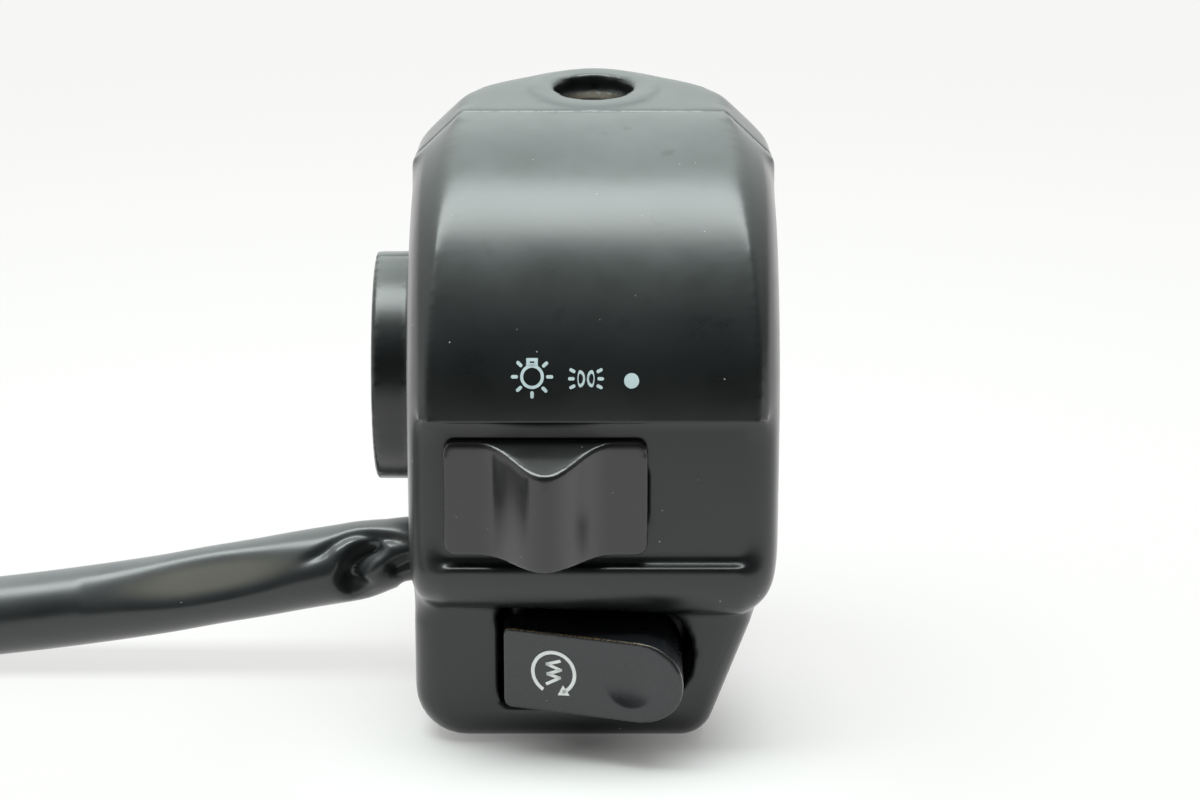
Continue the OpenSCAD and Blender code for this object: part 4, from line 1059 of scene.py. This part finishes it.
# Mirror thread: an M8 helix on the hole's wall, cut in the bare casting
threadSet = {"pitchMm": 1.25, "lengthMm": 11, "wallMm": 3.42, "toothMm": 0.34}
holeShadedCast = finishMaterial("bareDieCastPaintedShade", {  # cut aluminium, painted dark for the shade down the hole
    "colours": ("#1f1e1b", "#3b3934"), "roughness": (0.4, 0.58), "blotchMm": 1.5,
    "grainMm": (0.2, 0.006), "metallic": 1.0})


def makeMirrorThread():
    t, c = threadSet, castSet
    tooth = helixRidge((0, 0, 0), t["wallMm"], t["pitchMm"], t["lengthMm"], 3, t["toothMm"], 90, 28)
    tooth.rotation_euler.x = math.radians(90)
    applyPlace(tooth)
    tilt = math.radians(c["mirrorTilt"])
    tooth.rotation_euler.x = tilt
    depth = c["padMm"] - c["mouthMm"] - 0.6 - t["lengthMm"]
    lift = Vector((0, c["mirrorForwardMm"], depth))
    lift.rotate(Euler((tilt, 0, 0)))
    tooth.location = (Vector(c["mirrorTopMm"]) + lift) * mm
    return applyPlace(tooth)


dress(makeMirrorThread(), "mirrorThread", "housing", holeShadedCast, (), 30)
print("mirror thread cut")


# Inner pieces keep their solids and take their real finish
brass = finishMaterial("stampedBrass", {  # pressed strip, warm and slightly tarnished
    "colours": ("#a8843c", "#cfa955"), "roughness": (0.26, 0.42), "blotchMm": 1.8, "grainMm": (0.2, 0.003),
    "stretch": (1, 1, 0.2), "metallic": 1.0})
phenolic = finishMaterial("phenolicLaminate", {  # pressed paper board: fine layers show at the cut edge
    "colours": ("#5c3019", "#7a4426"), "roughness": (0.42, 0.58), "blotchMm": 2.4, "grainMm": (0.35, 0.01),
    "stretch": (0.15, 1, 0.15), "ior": 1.6})
acetal = finishMaterial("naturalAcetal", {  # turned white plastic, waxy
    "colours": ("#d2ccb8", "#e0dac7"), "roughness": (0.32, 0.44), "blotchMm": 1.5,
    "grainMm": (0.2, 0.003), "ior": 1.48})
strap = finishMaterial("zincPlatedStrip", {  # sheet strip with a drawn grain
    "colours": ("#9a9d9f", "#b7b9b8"), "roughness": (0.3, 0.45), "blotchMm": 2.2, "grainMm": (0.25, 0.004),
    "stretch": (0.1, 1, 1), "metallic": 1.0})
blackSteel = finishMaterial("blackOxideSteel", {  # oiled pin
    "colours": ("#161615", "#20201e"), "roughness": (0.4, 0.55), "blotchMm": 1.2,
    "grainMm": (0.2, 0.004), "metallic": 0.6})
innerFinish = {
    "light_carrier": phenolic, "light_base": phenolic, "starter_base": phenolic,
    "light_contact": brass, "light_terminals": brass, "starter_contact": brass, "starter_terminals": brass,
    "plug_pins": brass, "detent_ball": springSteel, "starter_pin": blackSteel, "starter_plunger": acetal,
    "harness_clamp": strap,
}
for node, made in innerFinish.items():
    cadNodes[node].data.materials.clear()
    cadNodes[node].data.materials.append(made["material"])
print("inner finishes:", len(innerFinish))


# Stage: pale floor, one overhead softbox and a soft white room, dimmer behind the camera and to the right
stageSet = {
    "floorColour": "#dcdcda", "floorSizeM": 8, "whiteStrength": 0.925,
    "mirrorStrength": (0.45, 1.5), "mirrorM": (-0.24, -0.14),  # reflected floor, dimmer towards the camera
    "shadowMm": (-1, -25), "shadowSizeMm": (14, 10.5), "shadowFade": (-0.5, 3.2),  # kept before the foot
    "nearGlow": 0.8, "farM": (0.1, 0.35),
    "boxPlaceM": (-0.1, -0.025, 0.98), "boxSizeM": (1.1, 0.46), "boxWatts": 17, "boxColour": "#f4fdfb",
    "roomDim": 0.06, "roomBright": 0.95, "roomSpan": (-0.75, 0.35), "roomTurn": -0.42,
    "roomColour": "#fbfdfb",
}
clearPick()
bpy.ops.mesh.primitive_plane_add(size=stageSet["floorSizeM"], location=(0, 0, cadLow.z))
floor = bpy.context.object
floor.name = "floor"
paper = bpy.data.materials.new("paleFloor")
paper.use_nodes = True
tree = paper.node_tree
tree.nodes.clear()
place = addNode(tree, "TexCoord").outputs["Object"]
shade = [Vector((*stageSet[key], 0)) * mm for key in ("shadowMm", "shadowSizeMm")]
away = addNode(tree, "VectorMath", {0: place}, operation="LENGTH").outputs["Value"]
full = stageSet["nearGlow"]
fade = reckon(tree, "ADD",
              fit(tree, ringsRound(tree, place, *shade), *stageSet["shadowFade"], full, smooth=True),
              fit(tree, away, *stageSet["farM"], 1 - full, smooth=True))
light = addNode(tree, "LightPath").outputs
seen = reckon(tree, "MAXIMUM", light["Is Camera Ray"], light["Is Glossy Ray"])
seen = reckon(tree, "MAXIMUM", seen, light["Is Transmission Ray"])
matt = addNode(tree, "BsdfDiffuse", {"Color": linearColour(stageSet["floorColour"])})
dim, bright = stageSet["mirrorStrength"]
forward = addNode(tree, "SeparateXYZ", {"Vector": place}).outputs["Y"]
mirrored = fit(tree, forward, *stageSet["mirrorM"], bright, dim, smooth=True)
whiter = addNode(tree, "Mix", {
    0: light["Is Camera Ray"], 2: mirrored, 3: stageSet["whiteStrength"]}, data_type="FLOAT")
glow = addNode(tree, "Emission", {"Color": (1, 1, 0.99, 1), "Strength": whiter.outputs[0]})
share = reckon(tree, "MULTIPLY", fade, seen)
both = addNode(tree, "MixShader", {0: share, 1: matt.outputs[0], 2: glow.outputs[0]})
addNode(tree, "OutputMaterial", {"Surface": both.outputs[0]})
floor.data.materials.append(paper)

bpy.ops.object.light_add(type="AREA", location=stageSet["boxPlaceM"])
softbox = bpy.context.object
softbox.data.shape = "RECTANGLE"
softbox.data.size, softbox.data.size_y = stageSet["boxSizeM"]
softbox.data.energy = stageSet["boxWatts"]
softbox.data.color = linearColour(stageSet["boxColour"])[:3]

room = bpy.data.worlds.new("softRoom")
room.use_nodes = True
bpy.context.scene.world = room
tree = room.node_tree
tree.nodes.clear()
facing = addNode(tree, "SeparateXYZ", {"Vector": addNode(tree, "TexCoord").outputs["Generated"]}).outputs
turned = reckon(tree, "MULTIPLY_ADD", facing["X"], stageSet["roomTurn"], facing["Y"])
level = fit(tree, turned, *stageSet["roomSpan"], stageSet["roomBright"], stageSet["roomDim"], smooth=True)
light = addNode(tree, "LightPath").outputs
strength = addNode(tree, "Mix", {
    0: light["Is Camera Ray"], 2: level, 3: stageSet["whiteStrength"]}, data_type="FLOAT").outputs[0]
air = addNode(tree, "Background", {"Color": linearColour(stageSet["roomColour"]), "Strength": strength})
addNode(tree, "OutputWorld", {"Surface": air.outputs[0]})
bpy.context.scene.view_settings.view_transform = "Standard"
print("stage set")

clearPick()
